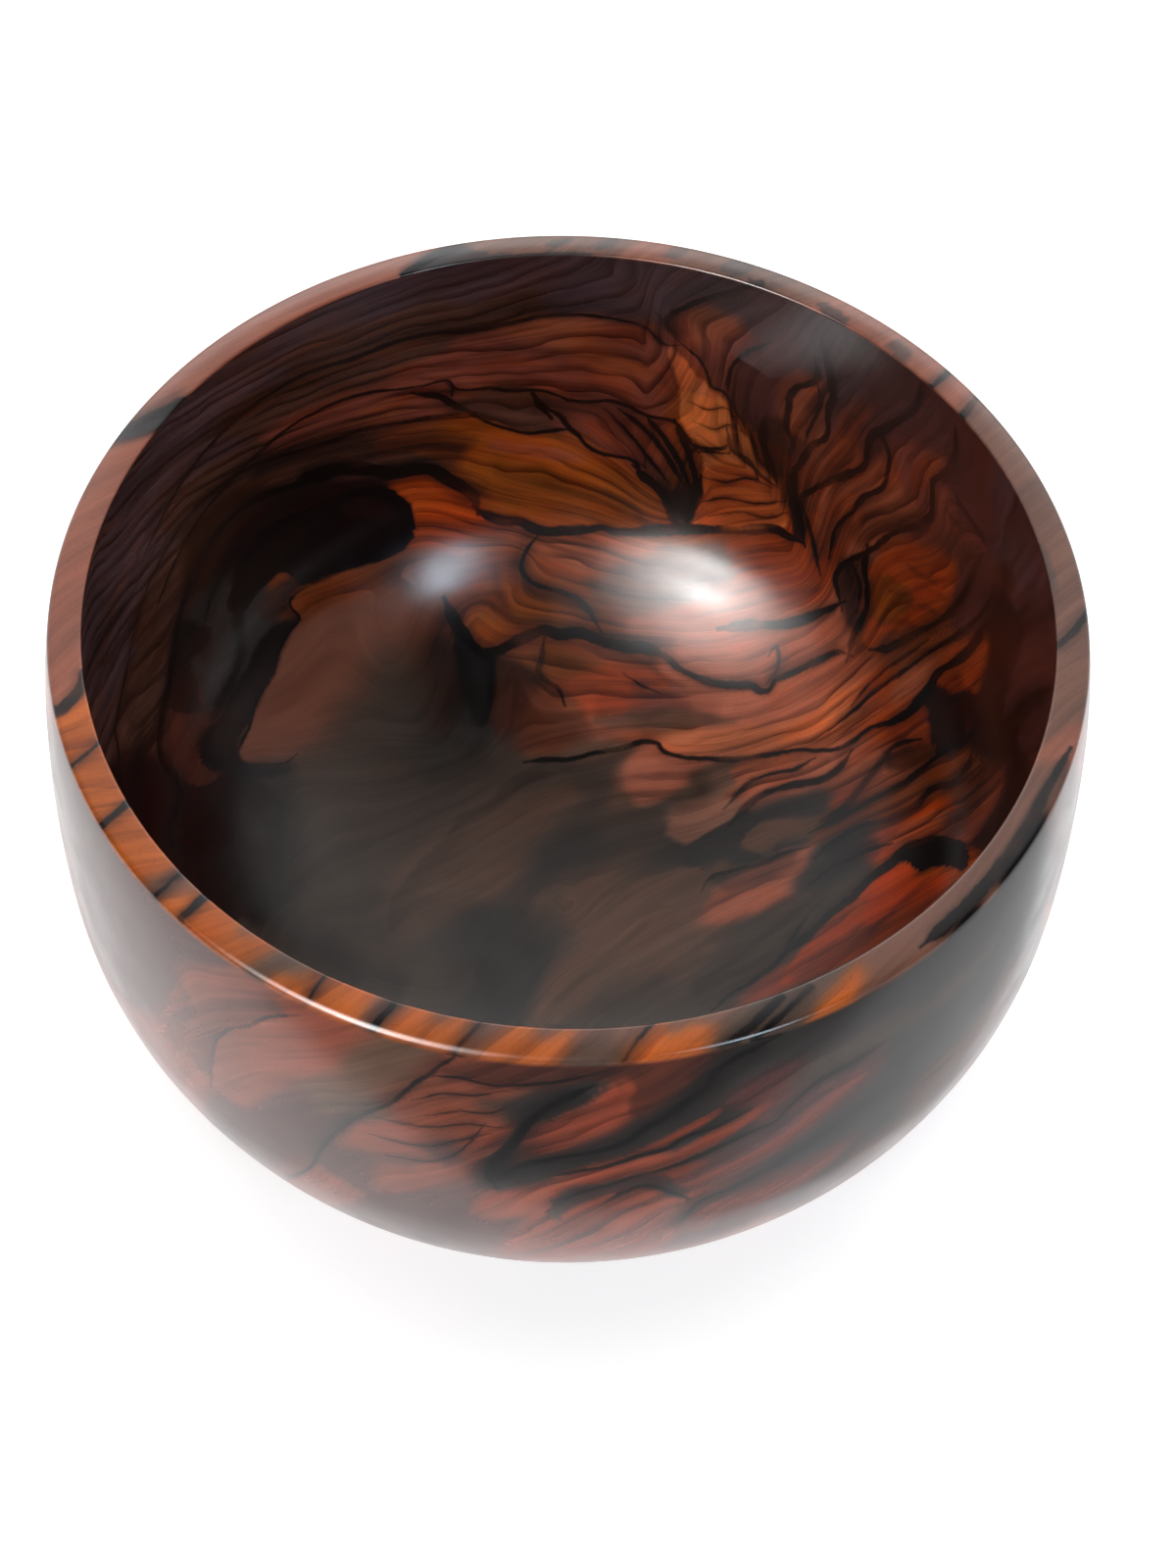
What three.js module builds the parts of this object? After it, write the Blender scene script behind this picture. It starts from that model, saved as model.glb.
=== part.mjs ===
// Turned wooden bowl: one piece of timber with a full wall that closes in a little
// towards a flat rim, standing on a low ring foot.
// Millimetres, +Z up. The origin is the centre of the ring that the bowl rests on.
import * as THREE from "three";

// Driving dimensions
const HEIGHT = 148; // resting plane to the top of the rim
const RIM_DIAMETER = 218; // across the rim's outer edge
const RIM_WIDTH = 7; // flat band between the rim's two edges
const RIM_OUTER_EASE = 1.2; // rounding of the rim's outer edge
const RIM_INNER_EASE = 0.8; // rounding of the rim's inner edge
const BELLY_DIAMETER = 231; // widest part of the wall
const BELLY_HEIGHT = 84; // of the widest part, above the resting plane
const WALL = 7.2; // timber at the belly
const FLOOR = 20; // timber on the axis, between the inside and the foot's recess
const FOOT_DIAMETER = 100; // across the foot's outer edge
const FOOT_EASE = 1; // rounding of the foot's outer edge
const FOOT_RING = 9; // width of the flat ring that touches the table
const FOOT_RECESS = 2.4; // depth of the hollow inside the ring

// Run of the wall: angles in degrees, and how far each end of a curve keeps its
// direction, as a share of the span that the curve crosses
const RIM_LEAN = 14; // inward lean of the outside at the rim, from upright
const FOOT_RISE = 16; // climb of the outside as it leaves the foot, from level
const SHOULDER_HOLD = 0.29; // upper wall, at the belly
const RIM_HOLD = 0.25; // upper wall, at the rim
const FLANK_HOLD = 0.28; // lower wall outside, at the belly
const FOOT_HOLD = 0.85; // lower wall outside, at the foot
const BOWL_HOLD = 0.5; // lower wall inside, at the belly
const WELL_HOLD = 0.8; // lower wall inside, at the axis

// Fineness of the mesh
const TURNS = 80; // facets round the axis
const WALL_STEPS = { upper: 6, outerLower: 11, innerLower: 13 };
const EASE_STEPS = 3;

const rimRadius = RIM_DIAMETER / 2;
const bellyRadius = BELLY_DIAMETER / 2;
const footRadius = FOOT_DIAMETER / 2;
const recessRadius = footRadius - FOOT_RING;
const lean = THREE.MathUtils.degToRad(RIM_LEAN);
const rise = THREE.MathUtils.degToRad(FOOT_RISE);

const point = (radius, height) => new THREE.Vector2(radius, height);

// Upper wall from the belly to just under a rim edge; both faces lean by the same angle.
function upperWall(belly, rimEdge, ease) {
  const top = point(rimEdge + ease * Math.sin(lean), HEIGHT - ease * Math.cos(lean));
  const span = top.y - belly.y;
  const belowTop = point(
    top.x + RIM_HOLD * span * Math.sin(lean),
    top.y - RIM_HOLD * span * Math.cos(lean),
  );
  return new THREE.CubicBezierCurve(belly, point(belly.x, belly.y + SHOULDER_HOLD * span), belowTop, top);
}

// Lower wall outside, from the foot's rounded edge up to the belly.
function outerLowerWall(foot, belly) {
  const reach = FOOT_HOLD * (belly.x - foot.x);
  const leavingFoot = point(foot.x + reach * Math.cos(rise), foot.y + reach * Math.sin(rise));
  const underBelly = point(belly.x, belly.y - FLANK_HOLD * (belly.y - foot.y));
  return new THREE.CubicBezierCurve(foot, leavingFoot, underBelly, belly);
}

// Lower wall inside, from the belly down to the middle of the well, level on the axis.
function innerLowerWall(belly, well) {
  const underBelly = point(belly.x, belly.y - BOWL_HOLD * (belly.y - well.y));
  return new THREE.CubicBezierCurve(belly, underBelly, point(WELL_HOLD * belly.x, well.y), well);
}

function corner(before, sharp, after) {
  return new THREE.QuadraticBezierCurve(before, sharp, after);
}

// Section of the bowl from the axis under the foot, up the outside, over the rim and
// down the inside to the axis again.
function sectionPoints() {
  const recessEdge = point(recessRadius - FOOT_RECESS, FOOT_RECESS);
  const footEdge = point(footRadius + FOOT_EASE * Math.cos(rise), FOOT_EASE * Math.sin(rise));
  const outerBelly = point(bellyRadius, BELLY_HEIGHT);
  const innerBelly = point(bellyRadius - WALL, BELLY_HEIGHT);
  const innerRim = rimRadius - RIM_WIDTH;
  const rimStart = point(rimRadius - RIM_OUTER_EASE, HEIGHT);
  const rimEnd = point(innerRim + RIM_INNER_EASE, HEIGHT);
  const outerUpper = upperWall(outerBelly, rimRadius, RIM_OUTER_EASE);
  const innerUpper = upperWall(innerBelly, innerRim, RIM_INNER_EASE);

  const points = [point(0, FOOT_RECESS)];
  const follow = (curve, steps) => points.push(...curve.getPoints(steps));
  follow(corner(recessEdge, point(recessRadius, FOOT_RECESS), point(recessRadius, 0)), EASE_STEPS);
  follow(corner(point(footRadius - FOOT_EASE, 0), point(footRadius, 0), footEdge), EASE_STEPS);
  follow(outerLowerWall(footEdge, outerBelly), WALL_STEPS.outerLower);
  follow(outerUpper, WALL_STEPS.upper);
  follow(corner(outerUpper.v3, point(rimRadius, HEIGHT), rimStart), EASE_STEPS);
  follow(corner(rimEnd, point(innerRim, HEIGHT), innerUpper.v3), EASE_STEPS);
  points.push(...innerUpper.getPoints(WALL_STEPS.upper).reverse());
  follow(innerLowerWall(innerBelly, point(0, FOOT_RECESS + FLOOR)), WALL_STEPS.innerLower);
  return points.filter((p, i) => i === 0 || p.distanceTo(points[i - 1]) > 1e-6);
}

function bowl() {
  const geometry = new THREE.LatheGeometry(sectionPoints(), TURNS);
  geometry.rotateX(Math.PI / 2);
  const wood = new THREE.MeshStandardMaterial({ color: 0x7d4327, roughness: 0.36, metalness: 0 });
  const mesh = new THREE.Mesh(geometry, wood);
  mesh.name = "bowl";
  return mesh;
}

const part = new THREE.Group();
part.add(bowl());
export default part;
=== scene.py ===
"""Turned wooden bowl of dark figured hardwood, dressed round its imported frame."""

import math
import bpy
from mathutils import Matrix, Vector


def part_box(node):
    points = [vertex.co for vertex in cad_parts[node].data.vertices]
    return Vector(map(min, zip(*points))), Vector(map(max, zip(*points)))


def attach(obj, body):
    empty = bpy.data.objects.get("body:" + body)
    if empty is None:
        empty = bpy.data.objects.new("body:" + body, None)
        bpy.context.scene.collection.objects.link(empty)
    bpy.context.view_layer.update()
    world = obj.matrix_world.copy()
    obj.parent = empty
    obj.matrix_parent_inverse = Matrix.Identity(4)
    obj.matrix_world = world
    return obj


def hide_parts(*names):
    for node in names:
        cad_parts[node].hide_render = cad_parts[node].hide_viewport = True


bl_info = {
    "name": "Figured Wooden Bowl",
    "version": (1, 0, 0),
    "blender": (4, 5, 0),
    "location": "3D View > Sidebar > Bowl",
    "description": "Builds a turned bowl of dark figured hardwood and the stage that shows it",
    "category": "Object",
}

from collections import namedtuple

import bpy
import numpy as np
from bpy.props import FloatProperty, FloatVectorProperty, IntProperty, PointerProperty
from bpy.types import Operator, Panel, PropertyGroup
from mathutils import Matrix, Quaternion, Vector
from mathutils.bvhtree import BVHTree

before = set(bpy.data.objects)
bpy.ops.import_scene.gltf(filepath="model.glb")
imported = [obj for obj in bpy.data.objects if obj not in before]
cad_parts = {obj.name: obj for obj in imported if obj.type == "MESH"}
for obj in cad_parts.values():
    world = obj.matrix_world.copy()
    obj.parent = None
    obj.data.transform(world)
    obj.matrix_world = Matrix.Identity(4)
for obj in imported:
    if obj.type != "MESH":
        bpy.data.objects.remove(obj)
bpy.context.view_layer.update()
BOWL_LOW, BOWL_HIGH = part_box("bowl")

# Section of the bowl in metres: the height and the belly come from the frame
MM = 0.001
HEIGHT = BOWL_HIGH.z - BOWL_LOW.z
BELLY_RADIUS = (BOWL_HIGH.x - BOWL_LOW.x) / 2
RIM_RADIUS = 109 * MM
RIM_WIDTH = 7 * MM
RIM_OUTER_EASE = 1.2 * MM
RIM_INNER_EASE = 0.8 * MM
RIM_CROWN = 0.25 * MM  # fall of the rim's top from its middle to its edges
BELLY_HEIGHT = 84 * MM
WALL = 7.2 * MM
FLOOR = 20 * MM
FOOT_RADIUS = 50 * MM
FOOT_EASE = 1 * MM
FOOT_RING = 9 * MM
FOOT_RECESS = 2.4 * MM

# Run of the wall: angles, and how far each end of a curve keeps its direction
RIM_LEAN = math.radians(14)
FOOT_RISE = math.radians(16)
SHOULDER_HOLD = 0.29
RIM_HOLD = 0.25
FLANK_HOLD = 0.28
FOOT_HOLD = 0.85
BOWL_HOLD = 0.5
WELL_HOLD = 0.8

# Zones of the section, and the gap between the rows of the mesh in each
INSIDE, RIM, OUTSIDE, FOOT = range(4)
ROW_GAP = {INSIDE: 0.95 * MM, RIM: 0.55 * MM, OUTSIDE: 1.1 * MM, FOOT: 3 * MM}
EASE_GAP = 0.2 * MM

# Texture map: share of it that stays free at an edge, and height of each half
MAP_MARGIN = 0.005
MAP_HALF = 0.49

# Camera of the photograph, which is 1200 by 1600 pixels
PHOTO_WIDTH = 1200
PHOTO_HEIGHT = 1600
CAMERA_PLACE = Vector((0.0, -0.3084, 0.5377))
CAMERA_PITCH = math.radians(56.19)
CAMERA_YAW = math.radians(0.545)
CAMERA_ROLL = math.radians(1.65)
CAMERA_LENS = 54.0
SENSOR = 36.0
FOCAL_PIXELS = CAMERA_LENS / SENSOR * PHOTO_HEIGHT

# The figure, drawn over the photograph in its pixels. A vein has a dark core of some
# width, and stains the wood so far to the left and right of its direction of travel.
Vein = namedtuple("Vein", "width left right depth path")
THIN_STAIN = {"left": 10, "right": 10, "depth": 0.45}


def line(width, *path):
    """Vein with a thin stain on both sides."""
    return Vein(width, path=path, **THIN_STAIN)


def stain(reach, depth, *path):
    """Stain without a dark core, as wide on both sides."""
    return Vein(0, reach, reach, depth, path)


BACK_WALL_VEINS = (
    Vein(5, 34, 6, 0.55, ((150, 560), (175, 510), (205, 465), (250, 420), (290, 393), (320, 378), (360, 366),
        (400, 350), (440, 341), (480, 338), (520, 330), (560, 322), (600, 322), (640, 328), (660, 335),
        (670, 345), (680, 352), (690, 352))),
    Vein(4, 0, 10, 0.4, ((160, 620), (180, 570), (210, 520), (250, 475), (290, 440), (320, 422), (350, 408),
        (380, 400), (400, 398), (430, 394), (455, 388), (465, 396), (480, 398), (500, 396), (520, 399),
        (540, 398), (560, 400), (580, 408), (600, 410), (622, 409), (640, 414), (660, 424), (680, 428),
        (690, 432), (700, 445), (710, 458))),
    line(8, (425, 402), (450, 405), (465, 415), (480, 420)),
    line(4, (455, 390), (462, 397), (460, 406)),
    Vein(5, 0, 8, 0.3, ((320, 455), (345, 448), (365, 440), (400, 434), (440, 426), (475, 421))),
    Vein(5, 12, 0, 0.3, ((475, 420), (500, 432), (520, 438), (540, 442), (560, 440), (580, 438))),
    Vein(5, 16, 0, 0.4, ((545, 405), (560, 418), (572, 425), (580, 436), (592, 446), (600, 456), (615, 463),
        (640, 468), (650, 474), (654, 486), (668, 498))),
    line(9, (545, 403), (551, 414), (560, 424)),
    Vein(12, 14, 10, 0.7, ((300, 495), (320, 482), (360, 478), (400, 482), (425, 478), (442, 479),
        (455, 487), (470, 497), (484, 507), (487, 519))),
    Vein(6, 30, 0, 0.6, ((770, 290), (720, 305), (690, 318), (680, 330), (690, 345), (695, 350))),
    line(3, (672, 322), (685, 335), (695, 345)),
    Vein(3, 30, 0, 0.55, ((695, 352), (712, 365), (722, 382), (726, 395), (738, 400), (748, 415), (757, 430),
        (762, 440))),
    Vein(0, 0, 14, 0.35, ((700, 410), (692, 400), (685, 385), (680, 360))),
    stain(8, 0.25, (580, 360), (620, 370), (650, 376), (670, 382), (680, 392), (690, 402), (697, 412)),
    Vein(0, 6, 8, 0.2, ((500, 350), (540, 356), (580, 362), (620, 366))),
    Vein(4, 6, 6, 0.5, ((620, 420), (640, 440), (660, 465), (680, 490))),
    Vein(5, 8, 6, 0.6, ((635, 420), (660, 440), (680, 465), (695, 490))),
    Vein(5, 8, 8, 0.6, ((660, 425), (680, 450), (695, 475), (705, 500))),
    Vein(6, 8, 8, 0.6, ((690, 432), (700, 455), (708, 480), (712, 500))),
    line(5, (700, 450), (715, 457), (735, 458), (745, 452)),
    Vein(2, 4, 4, 0.5, ((708, 412), (722, 418), (738, 416), (748, 420))),
    Vein(2, 4, 4, 0.5, ((712, 432), (728, 438), (744, 434), (756, 440))),
    Vein(2, 5, 5, 0.6, ((722, 488), (742, 492), (762, 488), (785, 496))),
    Vein(2, 5, 5, 0.6, ((716, 512), (740, 508), (770, 514), (798, 512))),
    Vein(2, 4, 4, 0.5, ((728, 526), (755, 522), (780, 528), (800, 524))),
    line(4, (712, 460), (740, 463)),
    line(5, (742, 440), (748, 460), (765, 470), (772, 485)),
    Vein(5, 6, 0, 0.4, ((745, 415), (750, 440), (752, 460), (760, 470), (770, 478), (780, 488), (790, 495))),
    Vein(5, 4, 4, 0.4, ((765, 440), (770, 455), (775, 470), (785, 480))),
    Vein(8, 12, 8, 0.7, ((780, 430), (778, 450), (785, 470), (792, 490))),
    Vein(4, 10, 0, 0.4, ((785, 350), (765, 358), (752, 368), (745, 380), (742, 400))),
    Vein(6, 0, 14, 0.5, ((832, 368), (835, 380), (830, 390), (815, 395), (806, 405), (805, 415), (803, 435),
        (808, 450))),
    Vein(7, 10, 0, 0.4, ((840, 350), (845, 370), (848, 390), (850, 405), (845, 420), (845, 440), (840, 448),
        (828, 455), (822, 465), (815, 475), (805, 490))),
    line(4, (835, 395), (838, 410), (830, 430), (825, 440), (822, 450)),
    Vein(7, 0, 12, 0.4, ((940, 395), (935, 415), (925, 425), (905, 437), (890, 445), (885, 460), (882, 475),
        (870, 482), (850, 490), (835, 497), (812, 510))),
    Vein(5, 8, 0, 0.35, ((885, 450), (892, 442), (900, 447), (906, 460), (907, 475), (900, 497), (880, 508),
        (870, 522), (855, 535), (850, 550), (847, 565))),
    Vein(0, 42, 28, 0.8, ((250, 490), (290, 470), (340, 458), (390, 455), (440, 455), (480, 468))),
    stain(24, 0.8, (815, 440), (812, 470), (815, 500), (822, 530)),
    stain(20, 0.6, (768, 450), (784, 475), (795, 500), (802, 522)),
    stain(26, 0.55, (560, 422), (590, 412), (620, 420), (650, 440)),
    stain(24, 0.5, (832, 572), (850, 545), (870, 525)),
    stain(34, 0.55, (870, 520), (900, 530), (940, 545), (980, 560), (1010, 580)),
    Vein(6, 12, 0, 0.4, ((975, 440), (975, 460), (968, 475), (960, 485), (952, 492), (952, 510), (950, 525),
        (940, 533), (925, 540), (910, 545), (900, 552), (890, 560), (875, 568), (862, 575), (855, 583),
        (852, 592), (855, 605), (858, 618))),
)

LEFT_WALL_VEINS = (
    Vein(9, 14, 10, 0.75, ((345, 484), (300, 495), (270, 505), (245, 520), (225, 540), (210, 560),
        (200, 580), (190, 605), (182, 635), (178, 665), (172, 700), (165, 730), (163, 760), (167, 780),
        (177, 792), (183, 803), (183, 812), (178, 830), (172, 850), (175, 862), (187, 864))),
    Vein(4, 16, 16, 0.5, ((320, 456), (285, 466), (250, 480), (215, 503), (190, 530), (170, 560), (150, 600),
        (138, 640), (128, 690), (118, 740), (120, 760), (122, 790))),
    stain(12, 0.4, (110, 560), (150, 495), (205, 440), (250, 412), (300, 388), (340, 370)),
    stain(8, 0.4, (130, 600), (150, 545), (185, 490), (230, 448), (290, 408)),
    stain(6, 0.4, (115, 680), (122, 640), (140, 595), (165, 545)),
    Vein(4, 10, 10, 0.5, ((240, 560), (225, 590), (215, 610), (208, 640))),
    Vein(3, 24, 0, 0.8, ((300, 772), (290, 779), (270, 780), (248, 778), (243, 770), (248, 755), (255, 740),
        (262, 715), (278, 690), (285, 665), (295, 645), (305, 630), (295, 615), (310, 600), (340, 588))),
    stain(24, 0.45, (125, 700), (135, 740), (150, 780), (165, 810)),
    stain(26, 0.6, (195, 690), (200, 730), (210, 770)),
    stain(34, 0.65, (215, 870), (250, 910), (290, 945), (330, 970), (380, 1000), (420, 1015)),
    Vein(0, 26, 20, 0.75, ((272, 788), (287, 810), (292, 850), (290, 885), (284, 915), (270, 942))),
)

MIDDLE_VEINS = (
    Vein(9, 0, 8, 0.5, ((487, 519), (497, 526), (515, 531), (530, 532), (545, 540), (560, 543), (580, 542),
        (600, 541), (615, 538), (635, 543), (690, 540), (720, 540), (750, 540), (790, 540), (800, 545),
        (815, 552))),
    Vein(5, 8, 14, 0.6, ((548, 548), (537, 562), (532, 578), (538, 590), (552, 599), (572, 604), (590, 612),
        (602, 625), (612, 642))),
    Vein(0, 6, 8, 0.45, ((505, 570), (508, 600), (515, 620), (525, 632), (545, 638))),
    Vein(10, 12, 10, 0.6, ((455, 615), (462, 630), (472, 645), (490, 665), (505, 664), (520, 657),
        (540, 648), (555, 643), (570, 648), (590, 646), (600, 648), (615, 655), (640, 660), (660, 662),
        (680, 670))),
    Vein(7, 8, 4, 0.5, ((670, 665), (680, 670), (690, 680), (700, 686), (720, 695), (740, 699), (765, 699),
        (775, 705), (785, 704), (790, 695), (800, 690), (815, 684), (840, 672), (855, 665), (865, 668))),
    Vein(0, 8, 46, 0.9, ((476, 640), (486, 665), (492, 690), (492, 715), (486, 750))),
    Vein(0, 26, 6, 0.7, ((600, 646), (620, 652), (645, 657), (670, 661), (690, 670))),
    line(5, (555, 655), (553, 670), (550, 685), (558, 695), (570, 703), (575, 715)),
    stain(6, 0.5, (600, 500), (625, 507), (645, 518), (655, 528), (665, 540)),
    Vein(8, 30, 0, 0.95, ((650, 478), (670, 497), (682, 515), (690, 538))),
    Vein(8, 0, 24, 0.95, ((715, 490), (712, 505), (705, 520), (700, 538))),
    line(4, (787, 665), (792, 660), (795, 672), (792, 685), (785, 695)),
    Vein(0, 4, 6, 0.45, ((620, 660), (640, 668), (650, 675), (665, 680), (675, 690), (690, 697),
        (705, 700))),
    Vein(9, 7, 7, 0.5, ((738, 641), (770, 638), (800, 637), (820, 632), (840, 624), (858, 616))),
    stain(5, 0.4, (770, 605), (800, 606), (825, 602), (845, 598)),
    Vein(7, 10, 10, 0.8, ((812, 500), (815, 520), (818, 540), (820, 552))),
    line(4, (820, 520), (828, 545), (833, 570), (836, 582)),
    Vein(7, 10, 0, 0.5, ((885, 560), (882, 580), (885, 600), (884, 620), (878, 635), (872, 645), (868, 660),
        (865, 670))),
    line(4, (872, 580), (878, 600), (875, 620)),
    Vein(7, 8, 10, 0.5, ((1002, 568), (992, 586), (985, 604), (970, 624), (952, 637), (936, 645), (920, 655),
        (905, 662), (892, 663))),
    Vein(4, 6, 6, 0.5, ((1013, 590), (1012, 608), (1000, 628), (980, 645), (960, 658), (940, 672),
        (920, 686), (900, 700), (885, 712), (868, 728), (850, 742))),
    Vein(3, 4, 5, 0.4, ((945, 655), (920, 672), (900, 686), (885, 700), (872, 716))),
    Vein(9, 10, 10, 0.5, ((1005, 640), (995, 655), (985, 668), (970, 678), (955, 688), (950, 700),
        (940, 712), (930, 725), (915, 735), (900, 740))),
    Vein(6, 12, 12, 0.6, ((1072, 700), (1060, 708), (1045, 714), (1030, 735), (1015, 755), (1003, 772))),
    stain(4, 0.55, (900, 600), (925, 607), (945, 601), (968, 612)),
    stain(4, 0.55, (910, 624), (938, 618), (960, 628)),
    stain(4, 0.5, (922, 574), (945, 590), (962, 600)),
    stain(4, 0.5, (895, 640), (915, 634), (940, 640)),
    Vein(3, 6, 6, 0.5, ((1010, 562), (998, 542), (984, 521), (972, 500))),
    Vein(3, 6, 6, 0.6, ((1024, 582), (1023, 605), (1016, 626), (1002, 642))),
    stain(5, 0.5, (990, 548), (972, 530), (962, 512)),
    Vein(0, 4, 6, 0.4, ((845, 735), (870, 715), (890, 700), (905, 680))),
    stain(26, 0.4, (560, 690), (600, 690), (640, 695), (680, 700)),
    Vein(0, 10, 34, 0.7, ((452, 640), (460, 670), (470, 700), (480, 730))),
    stain(24, 0.85, (862, 560), (868, 590), (872, 620), (868, 650)),
    line(3, (640, 690), (655, 700), (668, 705)),
    stain(6, 0.5, (600, 732), (630, 728), (660, 730), (690, 722)),
    stain(18, 0.5, (600, 724), (650, 722), (700, 722), (740, 730)),
)

FLOOR_VEINS = (
    Vein(5, 0, 10, 0.4, ((540, 777), (560, 775), (580, 775), (600, 770), (620, 766), (640, 762), (655, 757),
        (670, 758), (675, 765), (685, 770), (700, 773), (720, 774), (740, 775), (760, 774), (780, 771),
        (800, 767), (820, 765), (840, 766), (855, 764), (870, 756), (880, 748), (890, 742), (905, 737),
        (920, 730), (930, 722))),
    Vein(4, 4, 8, 0.5, ((742, 822), (755, 808), (765, 798), (785, 790), (810, 785), (827, 776))),
    Vein(6, 4, 10, 0.6, ((748, 838), (770, 816), (790, 806), (815, 800), (840, 795), (855, 785),
        (866, 770))),
    stain(18, 0.6, (705, 780), (712, 795), (716, 808), (700, 818), (680, 822)),
    Vein(4, 26, 0, 0.8, ((820, 865), (800, 870), (780, 880), (760, 885), (740, 890), (725, 895),
        (718, 905))),
    Vein(0, 6, 8, 0.5, ((820, 915), (800, 920), (780, 935), (760, 945), (740, 955), (720, 965))),
    Vein(4, 8, 8, 0.5, ((820, 940), (810, 955), (795, 980), (770, 1000), (745, 1015), (730, 1028))),
    Vein(6, 6, 10, 0.5, ((842, 836), (860, 825), (875, 808), (890, 790), (900, 776), (908, 765), (920, 758),
        (935, 755))),
    Vein(7, 8, 8, 0.6, ((835, 872), (850, 860), (865, 850), (880, 842), (900, 838), (915, 832), (935, 822),
        (950, 806), (970, 800), (985, 786), (992, 768))),
    Vein(6, 6, 8, 0.5, ((830, 848), (850, 838), (870, 828), (890, 817), (905, 808), (925, 797), (945, 781),
        (965, 766), (985, 755), (1000, 737))),
    Vein(4, 12, 12, 0.6, ((905, 862), (885, 868), (865, 878), (845, 888), (830, 900))),
    Vein(9, 8, 0, 0.6, ((805, 970), (830, 950), (850, 930), (870, 915), (890, 895), (910, 880), (920, 870),
        (930, 863), (950, 858), (975, 858))),
    stain(5, 0.45, (860, 975), (880, 955), (900, 940), (920, 925), (945, 900)),
    Vein(0, 24, 3, 0.45, ((560, 775), (540, 785), (515, 800), (500, 818), (470, 835), (455, 855), (430, 880),
        (410, 905), (398, 925), (400, 960))),
    stain(7, 0.5, (700, 1012), (740, 986), (780, 956), (818, 926), (852, 896)),
    stain(6, 0.45, (655, 1004), (700, 976), (738, 948), (772, 926)),
    stain(8, 0.4, (610, 1034), (655, 1008), (695, 990), (725, 968)),
    stain(6, 0.35, (560, 1030), (590, 1000), (630, 968), (668, 932)),
    stain(5, 0.4, (770, 985), (800, 958), (828, 930), (850, 905)),
    stain(4, 0.5, (880, 960), (905, 935), (930, 910), (955, 890)),
    stain(34, 0.8, (1030, 770), (1005, 800), (985, 830), (960, 850)),
    stain(26, 0.6, (985, 690), (965, 715), (940, 740), (910, 770)),
    stain(16, 0.6, (990, 832), (960, 850), (930, 862), (900, 880)),
    stain(24, 0.7, (840, 880), (870, 865), (900, 855)),
    stain(26, 0.4, (960, 900), (920, 935), (880, 960), (840, 985), (800, 1005)),
    stain(26, 0.4, (700, 1020), (750, 1000), (800, 985)),
)

RIM_VEINS = (
    Vein(9, 8, 0, 0.8, ((418, 277), (430, 269), (440, 263), (452, 258))),
    Vein(10, 20, 0, 0.8, ((125, 440), (155, 425), (188, 411))),
    line(10, (53, 728), (65, 722), (80, 705), (86, 690)),
    line(3, (72, 782), (85, 772), (98, 760)),
    line(7, (103, 843), (115, 833), (130, 820)),
    Vein(4, 12, 12, 0.7, ((160, 912), (185, 890))),
    Vein(8, 9, 9, 0.7, ((190, 932), (212, 912))),
    Vein(4, 14, 10, 0.65, ((320, 1012), (335, 990))),
    Vein(6, 14, 14, 0.75, ((385, 1043), (404, 1022))),
    Vein(4, 12, 12, 0.7, ((465, 1072), (475, 1060), (492, 1040))),
    Vein(4, 12, 12, 0.7, ((638, 1080), (650, 1062), (665, 1045))),
    Vein(8, 12, 0, 0.5, ((745, 1066), (770, 1045), (792, 1023))),
    line(6, (775, 1056), (800, 1034), (822, 1012)),
    line(5, (950, 396), (968, 380)),
    line(7, (980, 427), (998, 405)),
    line(6, (1076, 662), (1095, 645), (1110, 625)),
    Vein(10, 8, 6, 0.6, ((1090, 768), (1071, 801), (1053, 837), (1032, 867), (1008, 899), (987, 923),
        (967, 942), (944, 962))),
)

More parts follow.
